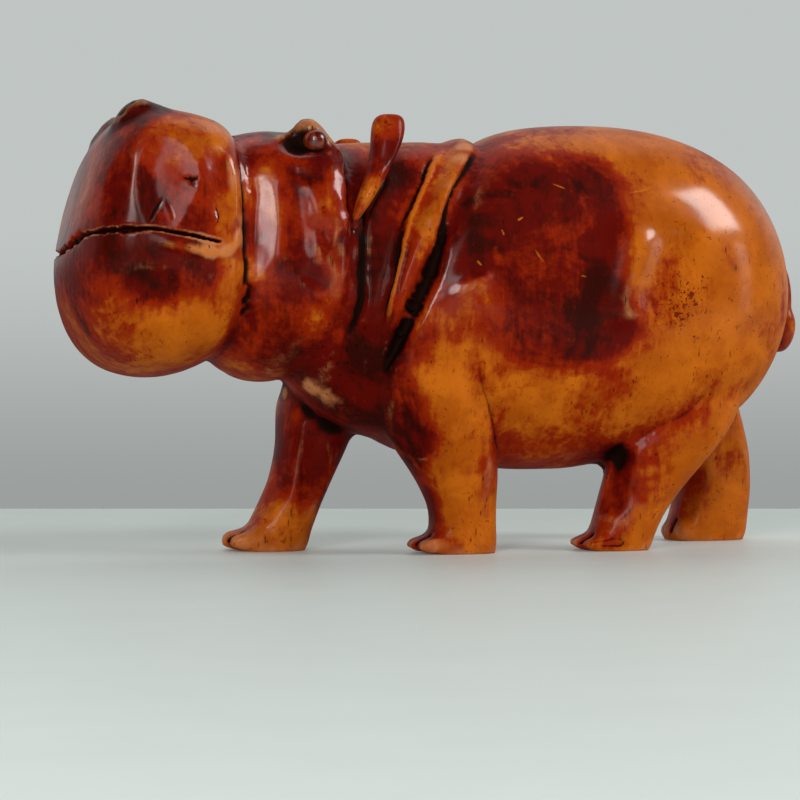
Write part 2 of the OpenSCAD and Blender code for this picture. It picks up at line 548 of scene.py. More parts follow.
    def press(self, dab: Dab) -> None:
        """Makes one dab, and its mirror where it is for both flanks.

        Args:
            dab: the swelling or hollow.
        """
        for side in sides(dab):
            centre = (dab.centre[0], dab.centre[1] * side, dab.centre[2])
            point = PATTERN.at(centre, LEAN if dab.leans else 0.0)
            far = np.linalg.norm(self.points - point, axis=1) / (dab.reach * MM)
            bell = np.where(far < 1, (1 - np.minimum(far, 1) ** 2) ** 2, 0)
            self.points += self.normals * (bell * dab.depth * MM)[:, None]
            # dark stain in the dab, and painted shade in a hollow
            self.ink = np.maximum(self.ink, dab.ink * np.sqrt(bell)).astype(np.float32)

    def pare(self, flat: Flat) -> None:
        """Cuts one flat, and its mirror where it is for both flanks.

        Args:
            flat: the chisel cut.
        """
        a, e = math.radians(flat.azimuth), math.radians(flat.elevation)
        for side in sides(flat):
            facing = np.array([math.sin(a) * math.cos(e), -side * math.cos(a) * math.cos(e), math.sin(e)])
            centre = (flat.centre[0], flat.centre[1] * side, flat.centre[2])
            point = self.snap(PATTERN.at([centre], LEAN if flat.leans else 0.0))[0]
            across = np.cross((0.0, 0.0, 1.0), facing)
            across /= np.linalg.norm(across)
            offset = self.points - point
            proud = offset @ facing + flat.depth * MM
            u = (offset @ across) / (flat.reach[0] * MM)
            v = (offset @ np.cross(facing, across)) / (flat.reach[1] * MM)
            share = smooth_step((1 - np.sqrt(u**2 + v**2)) / 0.45)
            share *= (proud > 0) & (self.normals @ facing > 0.5)
            limit = 1.6 * flat.depth * MM
            self.points -= (share * limit * np.tanh(proud / limit))[:, None] * facing

    def dimple(self, where: np.ndarray, spacing: float, depth: float, stretch: float, seed: int) -> None:
        """Covers a region with the shallow scoops that a gouge leaves.

        Args:
            where: how strongly each point is worked, from 0 to 1.
            spacing: distance between scoops in millimetres.
            depth: depth of a scoop in millimetres.
            stretch: how much longer the scoops are upwards than across.
            seed: which random scatter to use.
        """
        rng = np.random.default_rng(seed)
        squash = np.array([1.0, 1.0, 1.0 / stretch])
        tries, far_off = 6000, 9.0
        region = rng.permutation(np.where(where > 0.05)[0])[:tries]
        reach, apart = spacing * MM * 1.25, 0.8 * spacing * MM
        scoop = np.zeros(len(self.points))
        taken = np.full((len(region), 3), far_off)
        count = 0
        for spot in self.points[region]:
            if (((taken[:count] - spot) * squash) ** 2).sum(1).min(initial=far_off) > apart**2:
                taken[count] = spot
                count += 1
        for spot in taken[:count]:
            near = (np.abs(self.points - spot) < reach * np.array([1.0, 1.0, stretch])).all(1).nonzero()[0]
            far = ((((self.points[near] - spot) * squash) ** 2).sum(1)) / reach**2
            scoop[near] = np.maximum(scoop[near], (1 - far) * rng.uniform(0.5, 1.2))
        self.points -= self.normals * (scoop * where * depth * MM)[:, None]

    def hollows(self, rounds: int, scale: float) -> np.ndarray:
        """How far each point lies below (positive) or above its smoothed surroundings.

        Args:
            rounds: how widely the surroundings are smoothed.
            scale: the depth in millimetres that counts as 1.

        Returns:
            A value for each point, clipped to -1 and 1.
        """
        rise = ((self.relax(self.points, rounds) - self.points) * self.normals).sum(1)
        return np.clip(rise / (scale * MM), -1, 1)

    def keep(self, name: str, values: np.ndarray) -> None:
        """Stores one value for each point as a named attribute of the mesh."""
        layer = self.mesh.attributes.new(name, "FLOAT", "POINT")
        layer.data.foreach_set("value", values.astype(np.float32))


# ---------------------------------------------------------------------------------------------
# The stain: where the finisher wiped it dark, where the amber wood shows, and where shade is painted on the
# neck and the far legs
# ---------------------------------------------------------------------------------------------


@dataclass(frozen=True)
class Wash:
    """Dabs of stain (x, y, z, strength) on the drawing, each spreading a little way; the dark on the neck
    and the far legs is painted shade as well.
    """

    spread: float
    dabs: tuple[tuple[float, float, float, float], ...]


FLANK = Wash(
    9.0,
    (
        (0, -26, 116, 0.60), (14, -20, 121, 0.45), (33, -23, 123, 0.30), (51, -25, 122, 0.30),
        (70, -27, 117, 0.22), (0, -31, 100, 0.85), (16, -34, 106, 0.90), (35, -33, 110, 0.85),
        (46, -35, 106, 0.60), (57, -35, 106, 0.22), (74, -34, 104, 0.0), (-5, -35, 82, 0.85),
        (8, -37, 91, 0.90), (27, -39, 88, 0.85), (40, -39, 85, 0.95), (53, -39, 88, 0.10),
        (72, -38, 82, 0.0), (91, -33, 83, 0.0), (2, -38, 73, 0.75), (21, -39, 73, 0.95),
        (36, -39, 67, 0.95), (47, -39, 67, 0.80), (59, -39, 73, 0.40), (66, -38, 77, 0.30),
        (80, -36, 67, 0.0),
        (10, -37, 60, 0.60), (24, -37, 57, 0.70), (40, -37, 57, 0.65), (54, -37, 55, 0.1),
        (74, -35, 55, 0.0), (16, -34, 46, 0.15), (32, -33, 43, 0.2), (49, -31, 40, 0.1),
        (68, -32, 46, 0.1), (17, -23, 31, 0.55), (33, -21, 29, 0.60), (48, -26, 34, 0.40),
        (63, -27, 37, 0.30), (89, -26, 46, 0.05), (-2, -37, 73, 0.10), (103, -15, 90, 0.1),
        (20, 0, 128, 0.35), (60, 0, 130, 0.1), (100, 0, 110, 0.15), (112, 0, 80, 0.3),
        (60, 0, 26, 0.5), (20, 0, 30, 0.6), (100, 0, 45, 0.3),
    ),
)
# the far legs dark at the top and lighter at the feet: stain, with painted shade and light
LEGS = Wash(
    6.5,
    (
        (-13, -35, 53, 0.5), (-3, -34, 47, 0.05), (4, -31, 38, 0.05), (-4, -29, 26, 0.10),
        (3, -25, 10, 0.0), (-6, -23, 5, 0.6), (-19, -32, 44, 0.95), (-13, -26, 29, 1.1),
        (-7, -14, 16, 0.85), (8, -18, 26, 0.2), (12, -15, 10, 0.1), (73, -28, 34, 0.10),
        (72, -28.5, 41, 0.45), (62, -27.4, 35.6, 0.8), (54, -23, 30, 1.2),
        (62, -27, 24, 0.35), (60, -26, 10, 0.15), (52, -24, 22, 0.90), (50, -22, 14, 0.70),
        (45, -24, 4, 0.45), (58, -25, 3, -0.1), (70, -20, 15, 0.1), (102, 8, 23, 0.10),
        (106, 9, 13, 0.05), (94, 10, 7, 0.10), (89, 12, 14, 0.65), (104, 26, 20, 0.1),
        (92, 28, 12, 0.3), (-42, 8, 34, 1.0), (-34, 3, 31, 1.0), (-41, 3, 22, 0.95),
        (-47, 4, 8, 0.25), (-60, 5, 5, 0.15), (-41, 3, 5, 0.15), (-46, 22, 20, 0.6),
        (-50, 22, 6, 0.2),
    ),
)
# the neck under the head darkest: stain, with painted shade
NECK = Wash(
    7.5,
    (
        (-30, -31, 105, 1.1), (-20, -31, 91, 1.25), (-29, -30, 76, 1.25), (-15, -25, 112, 1.0),
        (-10, -16, 121, 0.35), (-25, -30, 61, 1.15), (-30, -21, 46, 1.05), (-37, -15, 46, 0.9),
        (2, -20, 121, 0.2), (-5, -29, 112, 0.30), (-12, -33, 100, 0.40), (-15, -34, 93, 0.55),
        (-17, -35, 85, 0.75), (-21, -34, 73, 0.70), (-20, 0, 125, 0.3), (-40, 0, 44, 0.8),
        (-15, 0, 34, 0.6),
    ),
)
HEAD = Wash(
    6.5,
    (
        (-58, -24, 120, 0.60), (-46, -20, 127, 1.1), (-38, -22, 119, 0.9), (-53, -20, 124, 1.0),
        (-51, -30, 112, 0.95), (-57, -31, 96, 0.55), (-51, -31, 82, 0.90),
        (-42, -32, 90, 0.60), (-44, -27, 67, 0.55), (-56, -26, 64, 0.80), (-38, -29, 76, 0.60),
        (-62, -27, 70, 0.80), (-38, -29, 104, 0.5), (-64, -28, 100, 0.5), (-55, 0, 126, 0.6),
        (-50, 0, 51, 0.5), (-103, -27, 119, 0.85), (-99, -33, 107, 0.95), (-90, -32, 119, 0.42),
        (-81, -32, 121, 0.30), (-85, -35, 104, 0.65), (-77, -34, 112, 0.70), (-70, -33, 105, 0.20),
        (-70, -33, 87, 0.15), (-99, -17, 131, 1.2), (-95, 0, 132, 0.5), (-80, 0, 131, 0.4),
        (-112, 0, 110, 0.7),
        (-114, -20, 87, 0.80), (-104, -32, 87, 1.0), (-93, -34, 84, 1.0), (-82, -35, 84, 0.80),
        (-104, -29, 73, 0.40), (-92, -30, 67, 0.20), (-81, -31, 70, 0.25), (-74, -32, 76, 0.45),
        (-111, -20, 73, 0.65), (-117, 0, 88, 0.8), (-100, 0, 57, 0.4), (-85, 0, 53, 0.4),
    ),
)
BARE = Wash(
    3.6,
    (
        (-50, -8, 50, 1.0), (-44, -12, 49, 0.9), (-38, -14, 47, 0.4), (4, -16, 123, 0.8),
        (0, -22, 119, 0.8), (-6, -28, 111, 0.45), (-12, -32, 100, 0.25), (-74, -34, 90, 0.7),
        (-79, -35, 90, 0.7), (-84, -35, 91, 0.4), (-69, -33, 94, 0.6), (-68, -32, 99, 0.4),
        (-70, -33, 112, 0.25), (-112, -16, 120, 0.2), (-14, -30, 104, 0.2),
    ),
)
FLANK_EDGE = (
    (-2, 122), (31.7, 121.4), (45, 117.9), (47, 103), (51.4, 93.5), (47.2, 82.7), (51.2, 66),
    (42.6, 58.9), (27.5, 56.5), (13.7, 56.6), (2.3, 64.9), (-6.5, 62.8), (-16, 64), (-10, 92), (-4, 110),
)
POLISH = Wash(
    9.5,
    (
        (-60, -30, 100, 1.0), (-46, -30, 112, 1.0), (-42, -30, 86, 1.0), (-52, -30, 70, 0.5),
        (-86, -34, 105, 0.7), (-72, -34, 110, 1.0), (-108, -26, 105, 0.6), (-100, -30, 75, 0.25),
        (-78, -34, 74, 0.4),
        (-22, -30, 100, 0.03), (-26, -28, 76, 0.03), (-30, -20, 55, 0.05), (-14, -28, 108, 0.15),
        (-5, -36, 77, 1.0), (1, -37, 80, 1.0), (8, -38, 82, 1.0), (14, -36, 104, 0.05),
        (30, -38, 100, 0.3), (30, -38, 76, 0.3), (12, -38, 66, 0.2), (4, -36, 95, 0.0),
        (16, -38, 90, 0.05), (-8, -32, 92, 0.1), (4, -30, 108, 0.05), (-6, -34, 62, 0.05),
        (-12, -33, 56, 0.0), (54, -37, 94, 1.0), (74, -34, 104, 1.0), (88, -30, 100, 1.0),
        (88, -34, 76, 0.7), (66, -36, 76, 0.5),
        (30, -34, 46, 0.2), (66, -34, 50, 0.3), (88, -32, 52, 0.4), (100, 0, 100, 0.8), (110, 0, 75, 0.6),
        (40, 0, 130, 0.4), (-10, 0, 124, 0.3), (-50, 0, 126, 0.6), (-90, 0, 132, 0.6), (-114, 0, 100, 0.6),
        (0, -34, 50, 0.15), (2, -25, 20, 0.15), (60, -26, 22, 0.2), (74, -28, 36, 0.25), (100, 8, 20, 0.2),
        (-40, 6, 25, 0.1), (0, 0, 30, 0.1), (50, 0, 26, 0.1),
    ),
)


def outline_depth(points: np.ndarray, outline: tuple[tuple[float, float], ...]) -> np.ndarray:
    """How far inside an outline each point lies, seen from the flank.

    Args:
        points: positions in metres.
        outline: (x, z) corners of a closed outline on the drawing.

    Returns:
        Millimetres inside (positive) or outside (negative).
    """
    spots = (points / PATTERN.scale())[:, [0, 2]]
    corners = np.array(outline, float)
    gap = np.full(len(spots), np.inf)
    inside = np.zeros(len(spots), bool)
    for a, b in zip(corners, np.roll(corners, -1, axis=0)):
        run = b - a
        share = np.clip((spots - a) @ run / (run @ run), 0, 1)
        gap = np.minimum(gap, np.linalg.norm(spots - a - share[:, None] * run, axis=1))
        crosses = (a[1] > spots[:, 1]) != (b[1] > spots[:, 1])
        slope = run[0] / (run[1] or 1e-9)
        inside ^= crosses & (spots[:, 0] < a[0] + (spots[:, 1] - a[1]) * slope)
    return np.where(inside, gap, -gap)


def spread_wash(points: np.ndarray, washes: list[Wash], background: float) -> np.ndarray:
    """How strong a set of washes is at each point.

    Args:
        points: positions in metres.
        washes: the washes, laid together.
        background: strength where none of them reaches.

    Returns:
        One strength for each point.
    """
    weight = np.full(len(points), 0.02)
    total = weight * background
    for wash in washes:
        for x, y, z, strength in wash.dabs:
            gap = ((points - PATTERN.at((x, y, z))) ** 2).sum(1) / (wash.spread * MM) ** 2
            share = np.exp(-gap)
            weight += share
            total += share * strength
    return total / weight


# ---------------------------------------------------------------------------------------------
# The carved block
# ---------------------------------------------------------------------------------------------


def dress(piece: bpy.types.Object, material: bpy.types.Material, node: str) -> None:
    """Gives a finished piece its material, and says what it stands for.

    Args:
        piece: the finished object.
        material: its finish.
        node: the CAD node it replaces.
    """
    piece.data.materials.clear()
    piece.data.materials.append(material)
    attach(piece, "root")
    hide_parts(node)
    triangles = sum(len(face.vertices) - 2 for face in piece.data.polygons)
    LOG.info("%s: %d triangles", piece.name, triangles)


@dataclass
class CarvedBlock:
    """The trunk, neck, head, muzzle and legs: one block of wood.

    `grid` is the size in millimetres of the faces that the masses are fused with, and `settle` how
    often the fused block is smoothed. Faces are quartered within `near_cuts` of every cut, and once
    more within `near_thin_cuts` of cuts that reach less than `thin`. Above `mirrored_above`, the
    right flank is stained as the left one is.
    """

    grid: float = 1.5
    settle: int = 3
    near_cuts: float = 4.0
    near_thin_cuts: float = 1.8
    thin: float = 1.9
    mirrored_above: float = 46.0

    def masses(self) -> list[bpy.types.Object]:
        """The rough masses.

        Returns:
            The masses, overlapping and not yet fused.
        """
        return [
            self.trunk(),
            self.collar(),
            self.neck(),
            self.head(),
            self.muzzle(),
            *self.legs(),
            *self.toes(),
            *self.brows(),
            *self.nostrils(),
        ]

    def trunk(self) -> bpy.types.Object:
        """The barrel, from the shoulder to the rump.

        Returns:
            The mass, from its front section to its back one.
        """
        sections = [
            block((8.6, 117.4), (-24, 50), 34.2, 2.3, 6.5),
            block((11.8, 124), (-25.4, 40), 37, 2.35, 5),
            block((19, 128), (-18, 32), 38, 2.4, 2.5),
            block((30, 130), (0, 26), 38.8, 2.4),
            block((44, 130.8), (26, 23.4), 39, 2.4),
            block((58, 130.6), (50, 24.5), 39, 2.4),
            block((72, 128.6), (70, 28.5), 38.2, 2.4),
            block((86, 124), (86, 34), 35.4, 2.35),
            block((97.8, 116.8), (98, 41.5), 30.4, 2.3),
            block((106.4, 107), (106, 51), 24, 2.2),
            block((112.2, 95), (112, 61.5), 15.4, 2.1),
            block((115, 82), (115, 73), 4.5, 2.0),
        ]
        return Loft("trunk", sections).build()

    def collar(self) -> bpy.types.Object:
        """The roll of skin where the neck meets the shoulder, bowed towards the head.

        Returns:
            The mass, from its front section to its back one.
        """
        sections = [
            block((0.4, 119), (-30, 56), 29, 2.4, 7),
            block((2.0, 124.4), (-29, 49), 33, 2.4, 7),
            block((6.5, 126.6), (-27, 46), 34.8, 2.4, 7),
            block((10.4, 125.8), (-25, 46), 34.4, 2.4, 7),
            block((12, 121), (-23.8, 51), 31.4, 2.4, 7),
        ]
        return Loft("collar", sections).build()

    def neck(self) -> bpy.types.Object:
        """The neck and the chest below it.

        Returns:
            The mass, from its front section to its back one.
        """
        sections = [
            block((-56, 118), (-52, 56), 22, 2.3),
            block((-42, 123.4), (-42, 46), 26.5, 2.4),
            block((-30, 124.2), (-32, 38), 29.5, 2.4),
            block((-16, 124.8), (-22, 34.5), 31.4, 2.4),
            block((0, 125), (-8, 31), 33, 2.4),
            block((18, 124), (12, 28), 34, 2.4),
        ]
        return Loft("neck", sections).build()

    def head(self) -> bpy.types.Object:
        """The cheeks and the crown, standing proud of the neck.

        Returns:
            The mass, from its front section to its back one.
        """
        sections = [
            block((-76, 118), (-76, 66), 22, 2.4),
            block((-68, 124.6), (-69, 57), 28, 2.6),
            block((-60, 126.4), (-61, 52.2), 31, 2.8),
            block((-50, 126.2), (-51, 51), 32.4, 2.8),
            block((-41, 125.8), (-42, 54), 32.6, 2.9),
            block((-35.4, 123.4), (-36, 60), 31.2, 2.8),
            block((-32.6, 117), (-33, 68), 27, 2.6),
        ]
        return Loft("head", sections, slope=LEAN).build()

    def muzzle(self) -> bpy.types.Object:
        """The deep boxed muzzle.

        Returns:
            The mass, from its front section to its back one.
        """
        sections = [
            block((-115, 95), (-117.4, 88), 5, 2.0),
            block((-113.2, 104), (-116.6, 81), 16, 2.3),
            block((-109.8, 115), (-114.4, 71.6), 24.8, 2.6),
            block((-105.2, 124), (-110.4, 63.4), 30.4, 2.9),
            block((-99.6, 129.8), (-104.2, 57.2), 33.8, 3.1),
            block((-92, 132.2), (-95, 53.6), 35.4, 3.2),
            block((-82, 131), (-84, 53.2), 35.6, 3.2),
            block((-73.5, 129), (-74, 56.2), 34.8, 3.2),
            block((-68, 126), (-68, 61), 32.6, 3.0),
            block((-65.8, 119), (-65.8, 69), 27, 2.8),
        ]
        return Loft("muzzle", sections, slope=LEAN).build()

    def legs(self) -> list[bpy.types.Object]:
        """The four legs, in mid stride.

        Returns:
            The legs, each lofted through the rows of numbers that `limb` takes.
        """
        rows = {
            "left_front_leg": (
                (-4, 4, -15, 11, 9.9), (3, 4, -15, 10.8, 9.9), (12, 4.4, -15.2, 10.0, 10.2),
                (18, 3, -15.8, 11.4, 11.2), (26, 0.4, -17, 14, 12.8), (36, -4.4, -18.6, 17, 14.4),
                (48, -8.2, -20.2, 18, 15.2), (60, -9.6, -21, 17, 14.8), (76, -8.6, -20, 12, 11),
            ),
            "right_front_leg": (
                (-4, -48, 13, 10.4, 9.8), (3, -47.4, 13, 10.6, 10), (12, -43.6, 13.2, 10.0, 10.4),
                (20, -39.2, 14, 9.8, 11.2), (32, -34.8, 15.4, 11.2, 12.6), (44, -32, 17, 13.2, 13.6),
                (58, -30.4, 18, 13.2, 12.6), (74, -28, 17, 10, 9),
            ),
            "left_hind_leg": (
                (-4, 53.4, -16, 10.2, 9.8), (3, 54.4, -16, 10.4, 9.8), (12, 58, -16, 11.2, 10.2),
                (18, 61, -16.2, 12.6, 11), (28, 67, -17, 16, 12), (40, 74, -17.4, 18.6, 12.2),
                (54, 77, -17, 18, 11), (70, 78, -16, 13, 9),
            ),
            "right_hind_leg": (
                (-4, 97.4, 19, 13.8, 10), (4, 98, 19, 13.8, 10), (13, 100, 18.8, 12.6, 10.4),
                (21, 100.6, 18.4, 11.8, 11), (31, 99, 18, 12.8, 11.6), (43, 93, 17.4, 14, 11.8),
                (57, 89, 17, 15, 11), (72, 86, 16, 12, 9),
            ),
        }
        return [Loft(name, [limb(*row) for row in leg], 20).build() for name, leg in rows.items()]

    def toes(self) -> list[bpy.types.Object]:
        """Three low toes at the front of each foot.

        Returns:
            The toes, foot by foot.
        """
        spread, set_back = 6.2, 1.4
        feet = ((-1, -15, 12.6, 7.2), (-50, 13, 14.6, 8.4), (50, -16, 11.4, 6.0), (91, 19, 8, 7.4))
        out = []
        for ankle, middle, length, height in feet:
            for row in (-1, 0, 1):
                y = middle + row * spread
                tip = ankle - length + (set_back if row else 0)
                rise = height / 2
                sections = [
                    Section((ankle + 4, y, rise), (0, 3.4, 0), (0, 0, rise), 2.4),
                    Section((ankle - 2, y, rise * 0.9), (0, 3.7, 0), (0, 0, rise * 0.98), 2.6),
                    Section((tip + 4, y, rise * 0.74), (0, 3.7, 0), (0, 0, rise * 0.78), 2.8),
                    Section((tip + 1, y, rise * 0.70), (0, 3.3, 0), (0, 0, rise * 0.66), 2.6),
                    Section((tip, y, rise * 0.70), (0, 1.8, 0), (0, 0, rise * 0.34), 2.2),
                ]
                out.append(Loft("toe", sections, 14).build(levels=1))
        return out

    def brows(self) -> list[bpy.types.Object]:
        """The hood over each eye.

        Returns:
            The two hoods.
        """
        out = []
        for side in (-1, 1):
            sections = [
                Section((-56, side * 15, 117), (0, 4, 0), (1.5, 0, 4)),
                Section((-51, side * 17.4, 119.6), (0, 6.4, 0), (1.4, 0, 6)),
                Section((-46, side * 18.6, 121.2), (0, 7.2, 0), (0.4, 0, 7)),
                Section((-41, side * 18.6, 120.4), (0, 6.8, 0), (-1.6, 0, 6.6)),
                Section((-37, side * 18, 117), (0, 5.4, 0), (-2.4, 0, 5)),
                Section((-34.6, side * 17.4, 113), (0, 3.2, 0), (-2, 0, 3)),
            ]
            out.append(Loft("brow", sections, 16, slope=LEAN).build(levels=1))
        return out

    def nostrils(self) -> list[bpy.types.Object]:
        """The mound round each nostril.

        Returns:
            The two mounds.
        """
        out = []
        for side in (-1, 1):
            sections = [
                Section((-104, side * 16, 125.6), (0, 4, 0), (1.5, 0, 2.6)),
                Section((-100.6, side * 16, 128.4), (0, 5.6, 0), (1.5, 0, 4.4)),
                Section((-96, side * 16, 129.7), (0, 6, 0), (0, 0, 4.5)),
                Section((-89, side * 15.6, 128), (0, 5, 0), (-1, 0, 3.8)),
                Section((-80, side * 15, 127), (0, 2.4, 0), (0, 0, 2.0)),
            ]
            out.append(Loft("nostril", sections, 16, slope=LEAN).build(levels=1))
        return out

    def shaping(self) -> list[Flat | Stroke | Dab]:
        """The broad cuts that shape the block.

        Returns:
            The cuts in the order they are made.
        """
        return [
            # the muzzle's cheek, squared off, with a hollow in front of its back edge
            Flat((-86, -36, 108), -13, 9, (16, 22), 1.1, leans=True),
            Flat((-103, -31, 110), -42, 12, (12, 18), 0.6, leans=True),
            Flat((-90, -34, 78), -9, -18, (20, 14), 0.7, leans=True),
            Stroke(Tool.GOUGE, ((-75, -35, 122), (-75.4, -36, 110), (-75.6, -36, 98)), 5, 0.7, leans=True),
            Stroke(Tool.ROLL, ((-70, -34, 122), (-70, -35, 108), (-70, -35, 96)), 4.5, 0.6, leans=True),
            # the cheeks, in long flats from the muzzle round to the back edge
            Flat((-61, -31, 92), -25, 3, (7, 26), 0.8, leans=True),
            Flat((-51.5, -33, 90), -2, 2, (6, 30), 0.6, leans=True),
            Flat((-45.6, -33, 90), 18, 12, (5, 7), 0.6, leans=True),
            Flat((-47, -33, 77), 18, 15, (5, 6), 0.6, leans=True),
            Stroke(Tool.GOUGE, ((-52, -32, 112), (-52, -33, 100), (-50, -33, 88)), 6, 1.0, leans=True),
            Stroke(Tool.ROLL, ((-39.4, -30, 114), (-38.4, -32, 98), (-38.6, -32, 84), (-40, -30, 70)),
                   6, 1.2, leans=True),
            Flat((-38.4, -31, 104), 24, 10, (5, 9), 0.5, leans=True),
            Flat((-38.4, -31, 86), 24, 13, (5, 8), 0.5, leans=True),
            # the neck, hollowed between the head and the collar
            Stroke(Tool.GOUGE, ((-12, -20, 120), (-20, -30, 106), (-25, -31, 90), (-29, -30, 74)), 8, 1.6),
            Stroke(Tool.GOUGE, ((-30, -28, 70), (-33, -22, 56), (-34, -16, 46)), 8, 1.2),
            # the shoulder's knob, with a rounded edge along its top
            Dab((0, -36, 75), 12, 1.5),
            Stroke(Tool.ROLL, ((-7, -35, 76.6), (0.7, -37, 81), (8.4, -38, 83)), 3.6, 1.3, taper=0.35),
            Dab((-6, -35, 54), 16, 0.7, both=False),
            # the flank's hollow, the hip and the hollow behind it
            Stroke(Tool.GOUGE, ((40, -37, 104), (39, -39, 88), (38, -39, 72), (42, -37, 54)), 12, 0.7),
            Stroke(Tool.ROLL, ((56, -36, 99), (51.6, -38, 88), (48.4, -38, 78), (48, -37, 66)), 9, 1.2),
            Stroke(Tool.GOUGE, ((67, -36, 100), (63.4, -37, 90), (59.4, -38, 81), (56, -38, 70)), 11, 1.5),
            # leg facets
            Flat((-14, -27, 30), -50, 4, (9, 18), 1.0, both=False),
            Flat((2, -28, 24), -2, 4, (8, 20), 0.6, both=False),
            Flat((50, -20, 22), -58, 6, (8, 14), 0.8, both=False),
            Flat((62, -28, 18), -6, 4, (9, 16), 0.6, both=False),
            Flat((-40, 4, 24), 8, 2, (9, 18), 0.8, both=False),
            Flat((-48, 8, 26), -62, 8, (8, 16), 0.6, both=False),
            Flat((102, 8, 18), 14, 3, (9, 16), 0.7, both=False),
            Flat((90, 10, 16), -48, 6, (6, 14), 0.7, both=False),
            # the belly's underside, left uneven
            Dab((26, -22, 29), 9, 1.0, both=False),
            Dab((40, -18, 26), 8, -0.7, both=False),
            Dab((12, -24, 33), 8, -0.6, both=False),
            Dab((51.6, -22, 29), 7, -0.3, 0.62, both=False),
            Dab((-40, 4, 42), 5, -0.2, 0.5, both=False),
            Dab((-33, 2, 38), 6, -0.2, 0.5, both=False),
        ]

